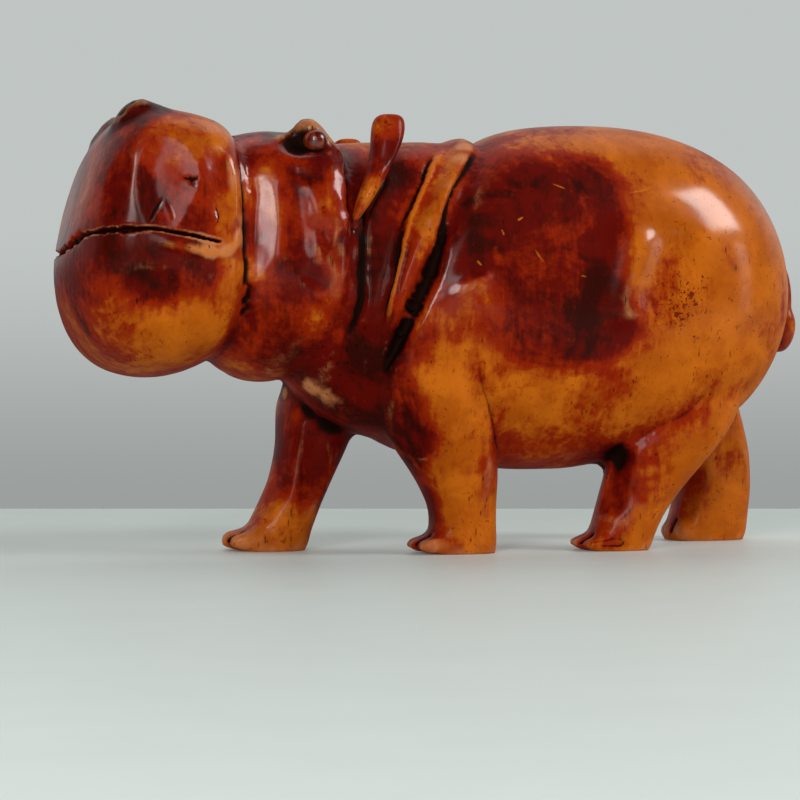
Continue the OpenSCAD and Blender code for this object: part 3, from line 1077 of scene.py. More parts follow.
    def cuts(self) -> list[Stroke]:
        """The cuts that need a fine mesh: the mouth, the neck groove and the edges of the head.

        Returns:
            The cuts in the order they are made.
        """
        mouth = (
            (-74.5, -34.1, 92.4), (-79, -34.6, 93.3), (-84, -34.6, 94.4), (-89.6, -34.4, 95.3),
            (-95.8, -33.4, 96.2), (-102.3, -30.5, 95.8), (-107, -26.5, 95.4), (-111, -20.5, 94.4),
            (-113.6, -14, 92.6), (-115.4, -7.5, 90.8), (-116, 0, 89.6),
        )
        front = tuple(spot for spot in mouth if spot[0] < -92)
        lip = (
            (-97, -33.6, 92.6), (-90, -35, 91.6), (-82, -35.4, 90), (-76, -35.4, 89.4),
            (-71.6, -34.6, 91), (-69, -33.6, 94.6), (-67.8, -33, 98.6),
        )
        groove = (
            (9, -15, 123), (7.2, -18.6, 121), (-0.9, -29, 111.6), (-5.2, -32, 104), (-8.4, -33, 94),
            (-11.6, -33.5, 85), (-16.2, -33, 74.5), (-21, -30, 62.8), (-24.8, -26, 51.6),
        )
        edge = (
            (-2, -16, 124), (-7.5, -24, 118.6), (-13.7, -29, 109), (-17.9, -31, 100), (-20.1, -31.5, 90),
            (-22.3, -31.5, 78.5), (-24.6, -30, 66.5),
        )
        return [
            # the inked cuts are left dark: stain, and painted shadow in the mouth's slots and the deep
            # grooves
            Stroke(Tool.ROLL, lip, 2.6, 0.9, -0.28, 0.25, leans=True),
            Stroke(Tool.SLOT, mouth, 0.6, 2.2, 1.0, 0.03, 0.3, leans=True),
            Stroke(Tool.SLOT, front, 0.95, 2.0, 1.0, 0.1, 0.7, leans=True),
            Stroke(Tool.SLOT, front[3:], 1.6, 1.6, 1.0, 0.4, 0.9, leans=True),
            Stroke(Tool.GOUGE, groove[4:8], 5, 1.6, 0.4, 0.35),
            Stroke(Tool.VEE, groove, 2.2, 1.4, 0.6, 0.15, 0.2),
            Stroke(Tool.VEE, groove[4:], 2.8, 2.0, 1.0, 0.25, 0.3),
            Stroke(Tool.ROLL, edge, 1.7, 0.9, -0.6, 0.2, 0.2),
            Stroke(Tool.VEE, tuple((x - 2.0, y, z) for x, y, z in edge), 1.6, 1.0, 0.5, 0.15, 0.2),
            # behind the muzzle and behind the cheek
            Stroke(Tool.VEE, ((-66.4, -27, 122), (-65.6, -31, 108), (-65.4, -31, 94), (-65.8, -30, 78),
                              (-67, -26, 66)), 2.0, 1.2, 0.35, 0.12, 0.3, leans=True),
            Stroke(Tool.VEE, ((-33, -24, 118), (-31.4, -30, 106), (-31, -31, 92), (-32, -31, 78),
                              (-36, -28, 62)), 2.6, 1.6, 0.6, 0.15, 0.2, leans=True),
            # creases behind the front leg and along the thigh
            Stroke(Tool.VEE, ((1.4, -37.3, 67), (3, -35.5, 54), (7, -32.4, 44), (11.5, -26, 34),
                              (16, -14, 26)), 1.2, 0.5, 0.35, 0.3, 0.5),
            Stroke(Tool.GOUGE, ((79, -32, 51), (72.8, -28.5, 42), (62, -27.4, 36.4), (54, -23, 31)),
                   4, 0.6, 0.25, 0.3, 0.3, both=False),
            Stroke(Tool.VEE, ((80, -32, 53), (72.8, -28.5, 43), (62, -27.4, 37.4), (54, -23, 32)),
                   1.5, 0.6, 0.42, 0.3, 0.6, both=False),
            # scratches in the finish
            *(
                Stroke(Tool.VEE, path, 0.6, 0.1, -0.62, 0.4, 0.5, both=False)
                for path in (
                    ((26, -34, 112), (31, -34, 109.4)),
                    ((18.5, -38, 92.4), (20.6, -38, 89), (23, -38.5, 86)),
                    ((49, -36, 109), (56, -36, 110.6), (61, -35, 112.6)),
                    ((14, -38, 100), (16.5, -38, 101.4)),
                    ((1, -37, 88), (3, -37, 86)),
                    ((33, -38, 83.6), (36, -38, 83)),
                    ((10, -38, 95), (9, -38, 98)),
                )
            ),
            # check and knot in the muzzle
            Stroke(Tool.VEE, ((-92, -36, 106), (-94.6, -35, 101.6), (-97, -34, 97)), 0.8, 0.5, 0.8, 0.4, 0.5,
                   both=False),
            Stroke(Tool.VEE, ((-92, -36, 105.6), (-90, -36, 101), (-89.4, -36, 98)), 0.7, 0.3, 0.4, 0.4, 0.5,
                   both=False),
            Stroke(Tool.VEE, ((-81.4, -36, 111.8), (-84, -36, 110.8), (-87.4, -36, 111.4)),
                   0.9, 0.5, 0.8, 0.3, 0.6, both=False),
            Stroke(Tool.VEE, ((-82.8, -36, 108.4), (-84.4, -36, 110), (-84.8, -36, 112.6)),
                   0.8, 0.4, 0.6, 0.3, 0.6, both=False),
            Stroke(Tool.VEE, ((-77, -35, 104), (-76, -35, 100), (-77, -35, 96.6)), 0.8, 0.4, 0.6, 0.3, 0.6,
                   both=False),
            # round the ear's tongue
            Stroke(Tool.VEE, ((-31.2, -31, 108), (-33.4, -31, 102), (-35.4, -31, 96), (-33.6, -31, 95.6)),
                   1.0, 0.6, 0.5, 0.1, 0.3, leans=True),
            Stroke(Tool.VEE, ((-20.4, -29, 116), (-25, -31, 108), (-29, -31, 101.6), (-33, -31, 95.6)),
                   1.1, 0.7, 0.6, 0.1, 0.3, leans=True),
        ]

    def eyes_and_nostrils(self) -> list[Dab | Stroke]:
        """The sockets, their lids and the nostril pits.

        Returns:
            The marks in the order they are made.
        """
        return [
            # the sockets and the nostril pits are left nearly black
            Dab((-49.6, -24, 120.4), 6.4, -2.6, 1.0, leans=True),
            Dab((-44.6, -25, 120.6), 5.6, -1.6, 1.0, leans=True),
            Stroke(Tool.ROLL, ((-57, -21, 120), (-52.4, -20, 125), (-46, -20, 127.6), (-39.6, -21, 125.6),
                               (-36.4, -23, 119), (-38, -25, 113.6)), 2.6, 1.1, 0.42, leans=True),
            Stroke(Tool.GOUGE, ((-55, -27, 113.6), (-48, -29, 111.6), (-41, -29, 112.6)),
                   3.2, 0.8, 0.2, leans=True),
            Dab((-98.4, -17.4, 132), 3.6, -2.0, 1.0, leans=True),
            Dab((-101.6, -18, 129.6), 3.0, -1.8, 1.0, leans=True),
        ]

    def toe_cuts(self) -> list[Stroke]:
        """The cuts between the toes and the outline of a nail.

        Returns:
            The cuts, foot by foot.
        """
        out = []
        for tip, middle, height in ((-12.6, -15, 6), (-63.6, 13, 7), (39.4, -16, 5), (83.4, 19, 6)):
            for row in (-0.5, 0.5):
                y = middle + row * 6.4
                foot, rise = (tip + 1, y, 1), (tip + 1, y, height * 0.6)
                path = (foot, rise, (tip + 4, y, height), (tip + 7, y, height))
                out.append(Stroke(Tool.VEE, path, 1.3, 0.8, 0.55, 0.25, 0.3, both=False))
        nail = (
            (41.6, -26, 1.6), (41.6, -25, 4.2), (46, -27, 4.6), (51.6, -27, 3.8), (51.6, -27, 1.6),
            (46, -27, 1.2),
        )
        out.append(Stroke(Tool.VEE, nail, 0.8, 0.4, 0.55, 0.0, 0.3, both=False))
        return out

    def make(self, finish: bpy.types.Material) -> None:
        """Builds and dresses the block."""
        dress(self.build(), finish, "body")

    def build(self) -> bpy.types.Object:
        """Fuses the masses, carves them and stains them.

        Returns:
            The finished block.
        """
        carving = Bench.join(self.masses(), "carving")
        Bench.apply(carving, "REMESH", mode="VOXEL", voxel_size=self.grid * MM)
        carver = Carver(carving)
        carver.smooth(self.settle)
        fine = self.cuts()
        carver.refine(fine, self.near_cuts)
        carver.refine([cut for cut in fine + self.toe_cuts() if cut.reach < self.thin], self.near_thin_cuts)
        for mark in self.shaping():
            self.work(carver, mark)
        carver.study()
        self.tool_marks(carver)
        for mark in self.eyes_and_nostrils() + fine + self.toe_cuts():
            self.work(carver, mark)
        carver.smooth(1)
        self.plane_soles(carver)
        self.stain(carver)
        Bench.smooth_shade(carving)
        return carving

    @staticmethod
    def work(carver: Carver, mark: Flat | Stroke | Dab) -> None:
        """Makes one mark with the tool for its kind.

        Args:
            carver: who works the block.
            mark: what to cut.
        """
        if isinstance(mark, Flat):
            carver.pare(mark)
        elif isinstance(mark, Stroke):
            carver.strike(mark)
        else:
            carver.press(mark)

    @staticmethod
    def tooled(points: np.ndarray) -> np.ndarray:
        """How roughly each point is left from the gouge: the head most and the barrel least.

        Args:
            points: positions in metres.

        Returns:
            A share from 0 to 1 for each point.
        """
        x, y, z = (points / PATTERN.scale()).T
        head = smooth_step((-28 - x) / 6) * smooth_step((z - 44) / 8)
        neck = smooth_step((6 - x) / 8) * smooth_step((z - 40) / 8) * 0.7
        legs = smooth_step((46 - z) / 14) * 0.6
        return np.clip(np.maximum(np.maximum(head, neck), legs), 0.0, 1.0)

    def tool_marks(self, carver: Carver) -> None:
        """Leaves the gouge's scoops, first small ones and then broad ones.

        Args:
            carver: who works the block.
        """
        rough = self.tooled(carver.points)
        muzzle = smooth_step((-66 * MM - carver.points[:, 0]) / (3 * MM))
        legs = smooth_step((40 * MM - carver.points[:, 2]) / (8 * MM))
        carver.dimple(rough * (1 - 0.75 * muzzle) * (1 - 0.5 * legs), 5.0, 0.42, 1.6, 11)
        carver.study()
        carver.dimple(0.06 + 0.4 * rough + 0.9 * legs, 10.0, 0.5, 1.7, 5)
        carver.study()

    @staticmethod
    def plane_soles(carver: Carver) -> None:
        """Cuts the soles flat on the table."""
        carver.points[:, 2] = np.maximum(carver.points[:, 2], 0.0)
        carver.study()

    def stain(self, carver: Carver) -> None:
        """Stores the stain with its painted shade, the polish, the bare patches, the hollows where shade is
        painted and the tooling for the finish.

        Args:
            carver: who works the block.
        """
        folded = carver.points.copy()
        high = folded[:, 2] > self.mirrored_above * MM
        folded[high, 1] = -np.abs(folded[high, 1])
        edge = outline_depth(folded, FLANK_EDGE) * (folded[:, 1] < -18 * MM)
        crisp = 0.20 * np.tanh(edge / 2.0) * np.exp(-((edge / 11) ** 2))
        carver.keep("stain", spread_wash(folded, [FLANK, LEGS, NECK, HEAD], 0.4) + crisp)
        upper = smooth_step(carver.normals[:, 2] / 0.6 + 0.6)
        carver.keep("polish", spread_wash(folded, [POLISH], 0.3) * upper)
        x, _, z = (folded / PATTERN.scale()).T
        carver.keep("speckle", np.exp(-(((x - 64) / 9) ** 2) - ((z - 76) / 8) ** 2) * (folded[:, 1] < 0))
        bare = np.zeros(len(folded))
        for x, y, z, strength in BARE.dabs:
            gap = ((folded - PATTERN.at((x, y, z))) ** 2).sum(1) / (BARE.spread * MM) ** 2
            bare = np.maximum(bare, strength * np.exp(-gap))
        carver.keep("bare", bare)
        carver.keep("hollow", carver.hollows(6, 0.3))
        carver.keep("broad_hollow", carver.hollows(40, 1.4))
        carver.keep("ink", carver.ink)
        carver.keep("tooled", self.tooled(carver.points))


# ---------------------------------------------------------------------------------------------
# The let-in pieces
# ---------------------------------------------------------------------------------------------


@dataclass
class Ear:
    """A paddle standing over the neck, on a long tongue let into its side."""

    side: int
    word: str
    corners: int = 32
    face: float = 34.0

    def make(self, finish: bpy.types.Material) -> None:
        """Builds and dresses the ear."""
        dress(self.build(), finish, f"{self.word}_ear")

    def build(self) -> bpy.types.Object:
        """Lofts the ear from the tip of its tongue to its rounded top, and carves it.

        Returns:
            The finished ear.
        """
        sections = [
            self.slice(-33.8, 29.4, 96.2, 0.7, 1.2),
            self.slice(-32.4, 29.6, 99.4, 1.8, 2.4),
            self.slice(-29.8, 29.2, 104.6, 2.6, 3.2),
            self.slice(-26.8, 28, 110.2, 3.1, 3.4),
            self.slice(-24.2, 26, 116, 3.9, 3.3),
            self.slice(-22.4, 24, 121, 4.9, 3.2),
            self.slice(-21.6, 22.8, 125.4, 5.2, 2.9),
            self.slice(-21.2, 22.3, 128.2, 4.4, 2.3),
            self.slice(-21.0, 22.1, 129.2, 2.2, 1.2),
        ]
        ear = Loft(f"{self.word}_ear_slip", sections, self.corners, slope=LEAN).build()
        carver = Carver(ear)
        for mark in self.marks():
            carver.plough(carver.snap(PATTERN.at(curve_through(np.array(mark.path)), LEAN)), mark)
        carver.smooth(1)
        height = carver.points[:, 2] / MM
        everywhere = np.ones(len(height))
        # painted light and shade: the cup is darker, as if shaded, and the top lighter, as if lit, above the
        # amber tongue
        stain = smooth_step((height - 108) / 10) - 0.75 * smooth_step((height - 123) / 6)
        carver.keep("stain", 0.2 + 0.6 * stain)
        carver.keep("bare", 0.0 * everywhere)
        carver.keep("hollow", carver.hollows(12, 0.8))
        carver.keep("broad_hollow", 0.0 * everywhere)
        carver.keep("ink", carver.ink)
        carver.keep("tooled", 0.6 * everywhere)
        carver.keep("polish", 0.25 * everywhere)
        carver.keep("speckle", 0.2 * everywhere)
        Bench.smooth_shade(ear)
        return ear

    def marks(self) -> list[Stroke]:
        """The scoop in its outer face, the ridge down its tongue and the nicks across it.

        Returns:
            The cuts in the order they are made.
        """
        y = self.side * self.face
        return [
            Stroke(Tool.GOUGE, ((-24.4, y, 113), (-23.4, y, 117), (-22.6, y, 121), (-22, y, 126)), 3.4, 0.7),
            Stroke(Tool.ROLL, ((-32, y, 100), (-29.8, y, 104), (-26.6, y, 110), (-25, y, 113)),
                   1.6, 0.5, -0.3),
            Stroke(Tool.VEE, ((-31.4, y, 104), (-29.2, y, 103)), 0.7, 0.4, 0.5),
            Stroke(Tool.VEE, ((-29.4, y, 108.6), (-27, y, 107.4)), 0.7, 0.4, 0.5),
        ]

    def slice(self, x: float, y: float, z: float, length: float, width: float) -> Section:
        """One level section of the ear."""
        return Section((x, self.side * y, z), (length, 0, 0), (0, width, 0), 2.6)


@dataclass
class Tail:
    """A flat slip down the middle of the rump, with a wider tuft below a notch."""

    corners: int = 16

    def make(self, finish: bpy.types.Material) -> None:
        """Builds and dresses the tail."""
        dress(self.build(), finish, "tail")

    def build(self) -> bpy.types.Object:
        """Lofts the tail from its tuft to its root.

        Returns:
            The finished tail.
        """
        sections = [
            Section((114.8, 0, 60.4), (1.2, 0, 0), (0, 1.6, 0)),
            Section((115.6, 0, 62.2), (2.8, 0, 0), (0, 3.3, 0)),
            Section((116.5, 0, 66.4), (3.6, 0, 0), (0, 4.5, 0)),
            Section((116.6, 0, 71), (3.7, 0, 0), (0, 4.6, 0)),
            Section((115.9, 0, 74.4), (2.8, 0, 0), (0, 3.1, 0)),
            Section((116.1, 0, 76.8), (3, 0, 0), (0, 3.5, 0)),
            Section((115.5, 0, 83.6), (2.9, 0, 0), (0, 3.8, 0)),
            Section((113.5, 0, 89.6), (2.6, 0, 0), (0, 3.2, 0)),
            Section((111.4, 0, 93.4), (1.1, 0, 0), (0, 1.4, 0)),
        ]
        tail = Loft("tail_slip", sections, self.corners).build()
        Bench.smooth_shade(tail)
        return tail


@dataclass
class Eye:
    """A domed, polished peg in its socket."""

    side: int
    word: str
    radius: float = 3.7
    place: Spot = (-43.8, 22, 120.8)

    def make(self, finish: bpy.types.Material) -> None:
        """Builds and dresses the eye."""
        dress(self.build(), finish, f"{self.word}_eye")

    def build(self) -> bpy.types.Object:
        """Turns the dome and sets it in the socket.

        Returns:
            The finished dome.
        """
        Bench.clear()
        x, y, z = self.place
        socket = PATTERN.at((x, self.side * y, z), LEAN)
        bpy.ops.mesh.primitive_uv_sphere_add(
            segments=48, ring_count=28, radius=self.radius * MM, location=socket
        )
        dome = bpy.context.object
        dome.name = f"{self.word}_eye_dome"
        bpy.ops.object.transform_apply(location=True, rotation=True, scale=True)
        Bench.smooth_shade(dome)
        return dome


# ---------------------------------------------------------------------------------------------
# Shader maths
# ---------------------------------------------------------------------------------------------


class Wire:
    """A shader socket that Python's arithmetic can be written on."""

    def __init__(self, graph: "Graph", socket: bpy.types.NodeSocket) -> None:
        """Wraps a socket of a graph."""
        self.graph = graph
        self.socket = socket

    def __add__(self, other: Any) -> "Wire":
        """This plus other."""
        return self.graph.maths("ADD", self, other)

    __radd__ = __add__

    def __mul__(self, other: Any) -> "Wire":
        """This times other."""
        return self.graph.maths("MULTIPLY", self, other)

    __rmul__ = __mul__

    def __sub__(self, other: Any) -> "Wire":
        """This minus other."""
        return self.graph.maths("SUBTRACT", self, other)

    def __rsub__(self, other: Any) -> "Wire":
        """Other minus this."""
        return self.graph.maths("SUBTRACT", other, self)

    def clamped(self) -> "Wire":
        """This, held between 0 and 1 and eased."""
        return self.graph.span(self, 0.0, 1.0, 0.0, 1.0)


class Graph:
    """The node tree of a material or of the room."""

    def __init__(self, owner: bpy.types.Material | bpy.types.World) -> None:
        """Empties the owner's tree.

        Args:
            owner: the material or the world.
        """
        self.owner = owner
        owner.use_nodes = True
        self.tree = owner.node_tree
        self.tree.nodes.clear()

    def node(self, kind: str, settings: dict[str, Any] | None = None, **inputs: Any) -> bpy.types.Node:
        """Adds a node.

        Args:
            kind: the node's type, without its ShaderNode prefix.
            settings: its properties, set before its sockets.
            inputs: values or wires for its sockets. Underscores stand for the spaces of a name, and
                i with a number for a socket that shares its name with others.

        Returns:
            The node.
        """
        made = self.tree.nodes.new("ShaderNode" + kind)
        for key, value in (settings or {}).items():
            setattr(made, key, value)
        for key, value in inputs.items():
            socket = made.inputs[int(key[1:]) if key[1:].isdigit() else key.replace("_", " ")]
            if isinstance(value, Wire):
                self.tree.links.new(value.socket, socket)
            else:
                socket.default_value = value
        return made

    def wire(self, node: bpy.types.Node, output: str | int = 0) -> Wire:
        """One output of a node."""
        return Wire(self, node.outputs[output])

    def maths(self, operation: str, *values: Any) -> Wire:
        """A Math node on numbers and wires."""
        inputs = {f"i{k}": value for k, value in enumerate(values)}
        return self.wire(self.node("Math", {"operation": operation}, **inputs))

    def span(
        self, value: Any, low: float, high: float, out_low: float, out_high: float, ease: str = "SMOOTHSTEP"
    ) -> Wire:
        """Maps a range of values to another, held at its ends.

        Args:
            value: what to map.
            low: where the range starts.
            high: where it ends.
            out_low: what its start becomes.
            out_high: what its end becomes.
            ease: how the values between them run.

        Returns:
            The mapped value.
        """
        ends = {"From_Min": low, "From_Max": high, "To_Min": out_low, "To_Max": out_high}
        return self.wire(self.node("MapRange", {"interpolation_type": ease}, Value=value, **ends))

    def mix(self, share: Any, first: Any, second: Any) -> Wire:
        """A colour between two colours."""
        node = self.node("Mix", {"data_type": "RGBA"}, Factor=share, i6=first, i7=second)
        return self.wire(node, 2)

    def place(self, scale: tuple[float, float, float]) -> Wire:
        """Object coordinates, scaled."""
        coordinates = self.wire(self.node("TexCoord"), "Object")
        return self.wire(self.node("Mapping", {"vector_type": "POINT"}, Vector=coordinates, Scale=scale))

    def noise(
        self, where: Wire, scale: float, detail: float = 3.0, rough: float = 0.5, warp: float = 0.0
    ) -> Wire:
        """Noise between 0 and 1."""
        sizes = {"Scale": scale, "Detail": detail, "Roughness": rough, "Distortion": warp}
        return self.wire(self.node("TexNoise", Vector=where, **sizes), "Fac")

    def cells(self, where: Wire, scale: float) -> Wire:
        """Distance to the middle of the nearest of a scatter of cells."""
        return self.wire(self.node("TexVoronoi", {"feature": "F1"}, Vector=where, Scale=scale), "Distance")

    def attribute(self, name: str) -> Wire:
        """A value stored on the mesh."""
        return self.wire(self.node("Attribute", {"attribute_name": name}), "Fac")

    def finish(self, shader: bpy.types.Node) -> bpy.types.Material | bpy.types.World:
        """Links a shader to the output and gives the owner back."""
        self.node("Output" + type(self.owner).__name__, Surface=self.wire(shader))
        return self.owner


@dataclass(frozen=True)
class StainedWood:
    """Hardwood stained from amber to blood red and lacquered.

    A `carved` piece tells the finish on its mesh where it is stained, inked, rubbed, polished and
    tooled, and where shade is painted in its hollows, its deep cuts and with its stain. Any other
    piece is stained evenly.
    """

    name: str
    amber: tuple[float, float, float, float] = (0.65, 0.152, 0.006, 1.0)
    umber: tuple[float, float, float, float] = (0.38, 0.064, 0.001, 1.0)
    russet: tuple[float, float, float, float] = (0.31, 0.016, 0.0003, 1.0)
    blood: tuple[float, float, float, float] = (0.122, 0.0010, 0.0001, 1.0)
    black_cherry: tuple[float, float, float, float] = (0.022, 0.0004, 0.0001, 1.0)
    pitch: tuple[float, float, float, float] = (0.003, 0.0003, 0.0002, 1.0)
    pale: tuple[float, float, float, float] = (0.66, 0.24, 0.085, 1.0)
    carved: bool = True
    plain_stain: float = 0.35

    def build(self) -> bpy.types.Material:
        """Builds the material.

        Returns:
            The material.
        """
        g = Graph(bpy.data.materials.new(self.name))
        # the grain runs upright, and the stain takes unevenly
        plain = g.place((1, 1, 1))
        upright = g.place((1, 1, 0.11))
        streaks = g.noise(upright, 520, 4, 0.6, 0.5)
        bands = g.noise(upright, 110, 3, 0.5, 1.2)
        mottle = g.noise(plain, 42, 5, 0.62, 0.8)
        fine = g.noise(plain, 330, 4, 0.65)
        uneven = 0.25 * streaks + 0.20 * bands + 0.90 * mottle + 0.35 * fine - 0.85
        stain = g.attribute("stain") if self.carved else self.plain_stain
        tone = stain + 1.7 * uneven
        # painted shade: broad hollows are pushed towards blood red
        if self.carved:
            tone = tone + 0.30 * g.attribute("broad_hollow")
        # amber through russet to blood red, with blots of black cherry
        honey = g.mix(g.span(g.noise(plain, 75, 4, 0.6, 0.3), 0.3, 0.7, 0.25, 1.0), self.umber, self.amber)
        colour = g.mix(g.span(tone, 0.06, 0.48, 0.0, 1.0), honey, self.russet)
        colour = g.mix(g.span(tone, 0.45, 0.85, 0.0, 1.0), colour, self.blood)
        blots = 0.6 * g.noise(plain, 60, 5, 0.65, 1.0) + 0.4 * g.noise(upright, 90, 4, 0.6, 0.6)
        blots = g.span(blots + 0.30 * (stain - 0.9), 0.45, 0.60, 0.0, 0.9)
        colour = g.mix(blots * g.span(tone, 0.45, 0.9, 0.0, 1.0), colour, self.black_cherry)
        # bare patches, rubbed edges, specks, and the dark stain and painted shade in the cuts and hollows
        if self.carved:
            hollow = g.attribute("hollow")
            bare = g.attribute("bare") - 0.5 * hollow + 1.2 * uneven
            colour = g.mix(g.span(bare, 0.25, 0.8, 0.0, 0.85), colour, self.pale)
            ink = g.attribute("ink")
            rubbed = g.span(-0.3 * hollow - 1.3 * ink + 1.1 * uneven, 0.3, 0.9, 0.0, 0.8)
            colour = g.mix(rubbed * (1.0 - 2.0 * ink).clamped(), colour, self.amber)
            specks = g.noise(plain, 620, 3, 0.7, 1.0) + 0.13 * (g.attribute("speckle") - 1.0)
            colour = g.mix(g.span(specks, 0.49, 0.56, 0.0, 0.85), colour, self.blood)
            # painted shade: hollows and inked cuts are darkened towards pitch
            painted_hollow_shade = 0.6 * g.maths("MAXIMUM", hollow, 0.0)
            cut_stain_and_shade = g.span(ink + painted_hollow_shade + 0.5 * uneven, 0.3, 0.85, 0.0, 1.0)
            colour = g.mix(cut_stain_and_shade, colour, self.pitch)
        # open pores, dents and the lacquer over them
        pores = g.cells(g.place((1, 1, 0.2)), 620)
        pore = g.span(pores, 0.06, 0.24, 1.0, 0.0) * g.span(mottle, 0.48, 0.62, 0.0, 0.85)
        colour = g.mix(pore, colour, self.pitch)
        wave = g.noise(plain, 95, 2, 0.5)
        dents = g.noise(plain, 260, 2, 0.5)
        rough = g.attribute("tooled") if self.carved else 0.6
        height = 0.06 * streaks + 0.06 * fine + (0.12 + 0.9 * rough) * wave
        height = height + 0.85 * (rough * dents) - 0.22 * pore
        polish = g.attribute("polish") if self.carved else 0.4
        dull = 1.0 - cut_stain_and_shade if self.carved else 1.0
        bump = g.node("Bump", Strength=0.55, Distance=0.0011, Height=height)
        shader = g.node(
            "BsdfPrincipled",
            Base_Color=colour,
            Roughness=0.62 - 0.3 * (dull * polish) + 0.1 * streaks,
            Specular_Tint=(1.0, 0.5, 0.3, 1.0),
            IOR=1.22,
            Coat_Weight=(dull * polish) * g.span(mottle, 0.3, 0.7, 0.95, 0.7),
            Coat_Roughness=0.15,
            Coat_IOR=1.5,
            Normal=g.wire(bump),
        )
        return g.finish(shader)


@dataclass(frozen=True)
class PolishedPeg:
    """Dark red turned wood under a hard polish."""

    name: str = "polished_peg"
    base: tuple[float, float, float, float] = (0.070, 0.004, 0.001, 1.0)
    glint: tuple[float, float, float, float] = (0.26, 0.024, 0.003, 1.0)

    def build(self) -> bpy.types.Material:
        """Builds the material.

        Returns:
            The material.
        """
        g = Graph(bpy.data.materials.new(self.name))
        grain = g.noise(g.place((1, 1, 0.25)), 520, 3)
        shader = g.node(
            "BsdfPrincipled",
            Base_Color=g.mix(g.span(grain, 0.35, 0.7, 0.0, 1.0), self.base, self.glint),
            Roughness=g.span(grain, 0.2, 0.8, 0.2, 0.32),
            Coat_Weight=0.6,
            Coat_Roughness=0.10,
            Normal=g.wire(g.node("Bump", Strength=0.3, Distance=0.0004, Height=grain)),
        )
        return g.finish(shader)


# ---------------------------------------------------------------------------------------------
# The set: table, backdrop, lights and camera
# ---------------------------------------------------------------------------------------------


@dataclass(frozen=True)
class Window:
    """A soft light that faces the carving.

    `azimuth` runs from the left flank's side towards the rump and `elevation` up from the table, in
    degrees. The sizes are in metres, and `radiance` is the brightness of the window's face.
    """

    name: str
    azimuth: float
    elevation: float
    width: float
    height: float
    radiance: float


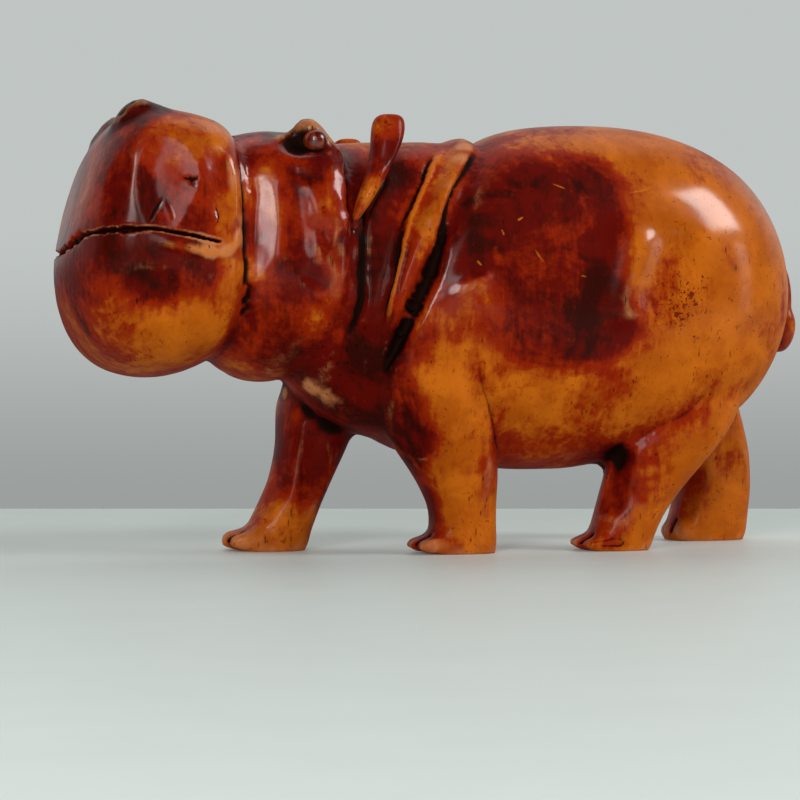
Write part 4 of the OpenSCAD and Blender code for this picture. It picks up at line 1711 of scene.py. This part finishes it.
@dataclass
class Studio:
    """A pale table, a plain room, soft windows and the camera."""

    azimuth: float = -17.0
    distance: float = 0.9114
    aside: float = -0.01063
    eye_height: float = 0.0652
    pitch: float = 1.1725
    lens: float = 131.9
    back_edge: float = 0.165
    size: float = 3.0
    thickness: float = 0.04
    window_distance: float = 1.2
    windows: tuple[Window, ...] = (
        Window("tall_window", 60, 33, 0.40, 0.44, 11.0),
        Window("low_window", 63, 5, 0.16, 0.50, 2.4),
        Window("side_window", -13, 20, 0.24, 0.66, 3.0),
        Window("near_window", -31, 20, 0.24, 0.66, 11.0),
        Window("back_window", 170, 66, 1.2, 0.9, 0.6),
    )

    def camera(self) -> None:
        """Makes the camera at the viewing angle."""
        a, e = math.radians(self.azimuth), math.radians(self.pitch)
        out = Vector((math.sin(a), -math.cos(a), 0.0))
        right = Vector((math.cos(a), math.sin(a), 0.0))
        centre = Vector((-PATTERN.middle * float(PATTERN.scale()[0]), 0.0, self.eye_height))
        data = bpy.data.cameras.new("camera")
        data.lens = self.lens
        data.sensor_width = 36.0
        data.clip_start = 0.05
        camera = bpy.data.objects.new("camera", data)
        bpy.context.scene.collection.objects.link(camera)
        camera.location = centre + out * self.distance + right * self.aside
        back = Vector((out.x * math.cos(e), out.y * math.cos(e), math.sin(e)))
        camera.rotation_euler = (-back).to_track_quat("-Z", "Y").to_euler()
        bpy.context.scene.camera = camera

    def table(self) -> None:
        """Makes the table, square to the camera, with a soft edge behind the carving and a faint painted
        glow.
        """
        Bench.clear()
        middle = self.back_edge - self.size / 2
        bpy.ops.mesh.primitive_cube_add(size=1.0, location=(0, middle, -self.thickness / 2))
        table = bpy.context.object
        table.name = "table"
        bpy.ops.object.mode_set(mode="EDIT")
        bpy.ops.transform.resize(value=(self.size, self.size, self.thickness))
        bpy.ops.mesh.select_all(action="SELECT")
        bpy.ops.mesh.bevel(offset=0.003, segments=3)
        bpy.ops.object.mode_set(mode="OBJECT")
        table.rotation_euler = (0, 0, math.radians(self.azimuth))
        bpy.ops.object.transform_apply(location=True, rotation=True, scale=True)
        g = Graph(bpy.data.materials.new("pale_paper"))
        grain = g.noise(g.place((1, 1, 1)), 40, 4)
        pale = g.mix(grain, (0.60, 0.66, 0.625, 1.0), (0.65, 0.71, 0.675, 1.0))
        # painted light: the paper glows faintly, though it is no lamp
        painted_floor_glow = {"Emission_Color": (0.90, 1.0, 0.95, 1.0), "Emission_Strength": 0.07}
        paper = g.node("BsdfPrincipled", Base_Color=pale, Roughness=0.5, **painted_floor_glow)
        table.data.materials.append(g.finish(paper))

    def light(self, window: Window) -> None:
        """Makes one soft window.

        Args:
            window: where it stands, its size and how bright it is.
        """
        data = bpy.data.lights.new(window.name, "AREA")
        data.shape = "RECTANGLE"
        data.size, data.size_y = window.width, window.height
        data.energy = window.radiance * math.pi * window.width * window.height
        lamp = bpy.data.objects.new(window.name, data)
        bpy.context.scene.collection.objects.link(lamp)
        a, e = math.radians(window.azimuth), math.radians(window.elevation)
        way = Vector((math.sin(a) * math.cos(e), -math.cos(a) * math.cos(e), math.sin(e)))
        lamp.location = Vector((0, 0, 0.07)) + way * self.window_distance
        lamp.rotation_euler = way.to_track_quat("Z", "Y").to_euler()

    def room(self) -> None:
        """Makes the room, which is bright behind the carving and dark in front of it."""
        g = Graph(bpy.data.worlds.new("room"))
        split = g.node("SeparateXYZ", Vector=g.wire(g.node("TexCoord"), "Generated"))
        back, up = g.wire(split, "Y"), g.wire(split, "Z")
        wall = g.span(back, -0.15, 0.45, 0.0, 0.56) * g.span(up, -0.06, 0.04, 0.62, 1.0)
        below = g.span(up, -0.06, -0.16, 0.0, 0.5, "LINEAR")
        strength = g.maths("MAXIMUM", wall, below)
        light = g.node("Background", Color=(0.94, 1.0, 0.98, 1.0), Strength=strength)
        bpy.context.scene.world = g.finish(light)
        bpy.context.scene.view_settings.view_transform = "Standard"

    def build(self) -> None:
        """Makes everything round the carving."""
        self.camera()
        self.table()
        for window in self.windows:
            self.light(window)
        self.room()


def main() -> None:
    """Builds the set, the carving and its let-in pieces."""
    logging.basicConfig(level=logging.INFO, format="%(name)s: %(message)s")
    Studio().build()
    body_wood = StainedWood("carving_wood").build()
    slip_wood = StainedWood("slip_wood", carved=False).build()
    ear_wood = StainedWood("ear_wood").build()
    peg_wood = PolishedPeg().build()
    CarvedBlock().make(body_wood)
    for side, word in ((-1, "left"), (1, "right")):
        Ear(side, word).make(ear_wood)
        Eye(side, word).make(peg_wood)
    Tail().make(slip_wood)
    Bench.clear()


if __name__ == "__main__":
    main()
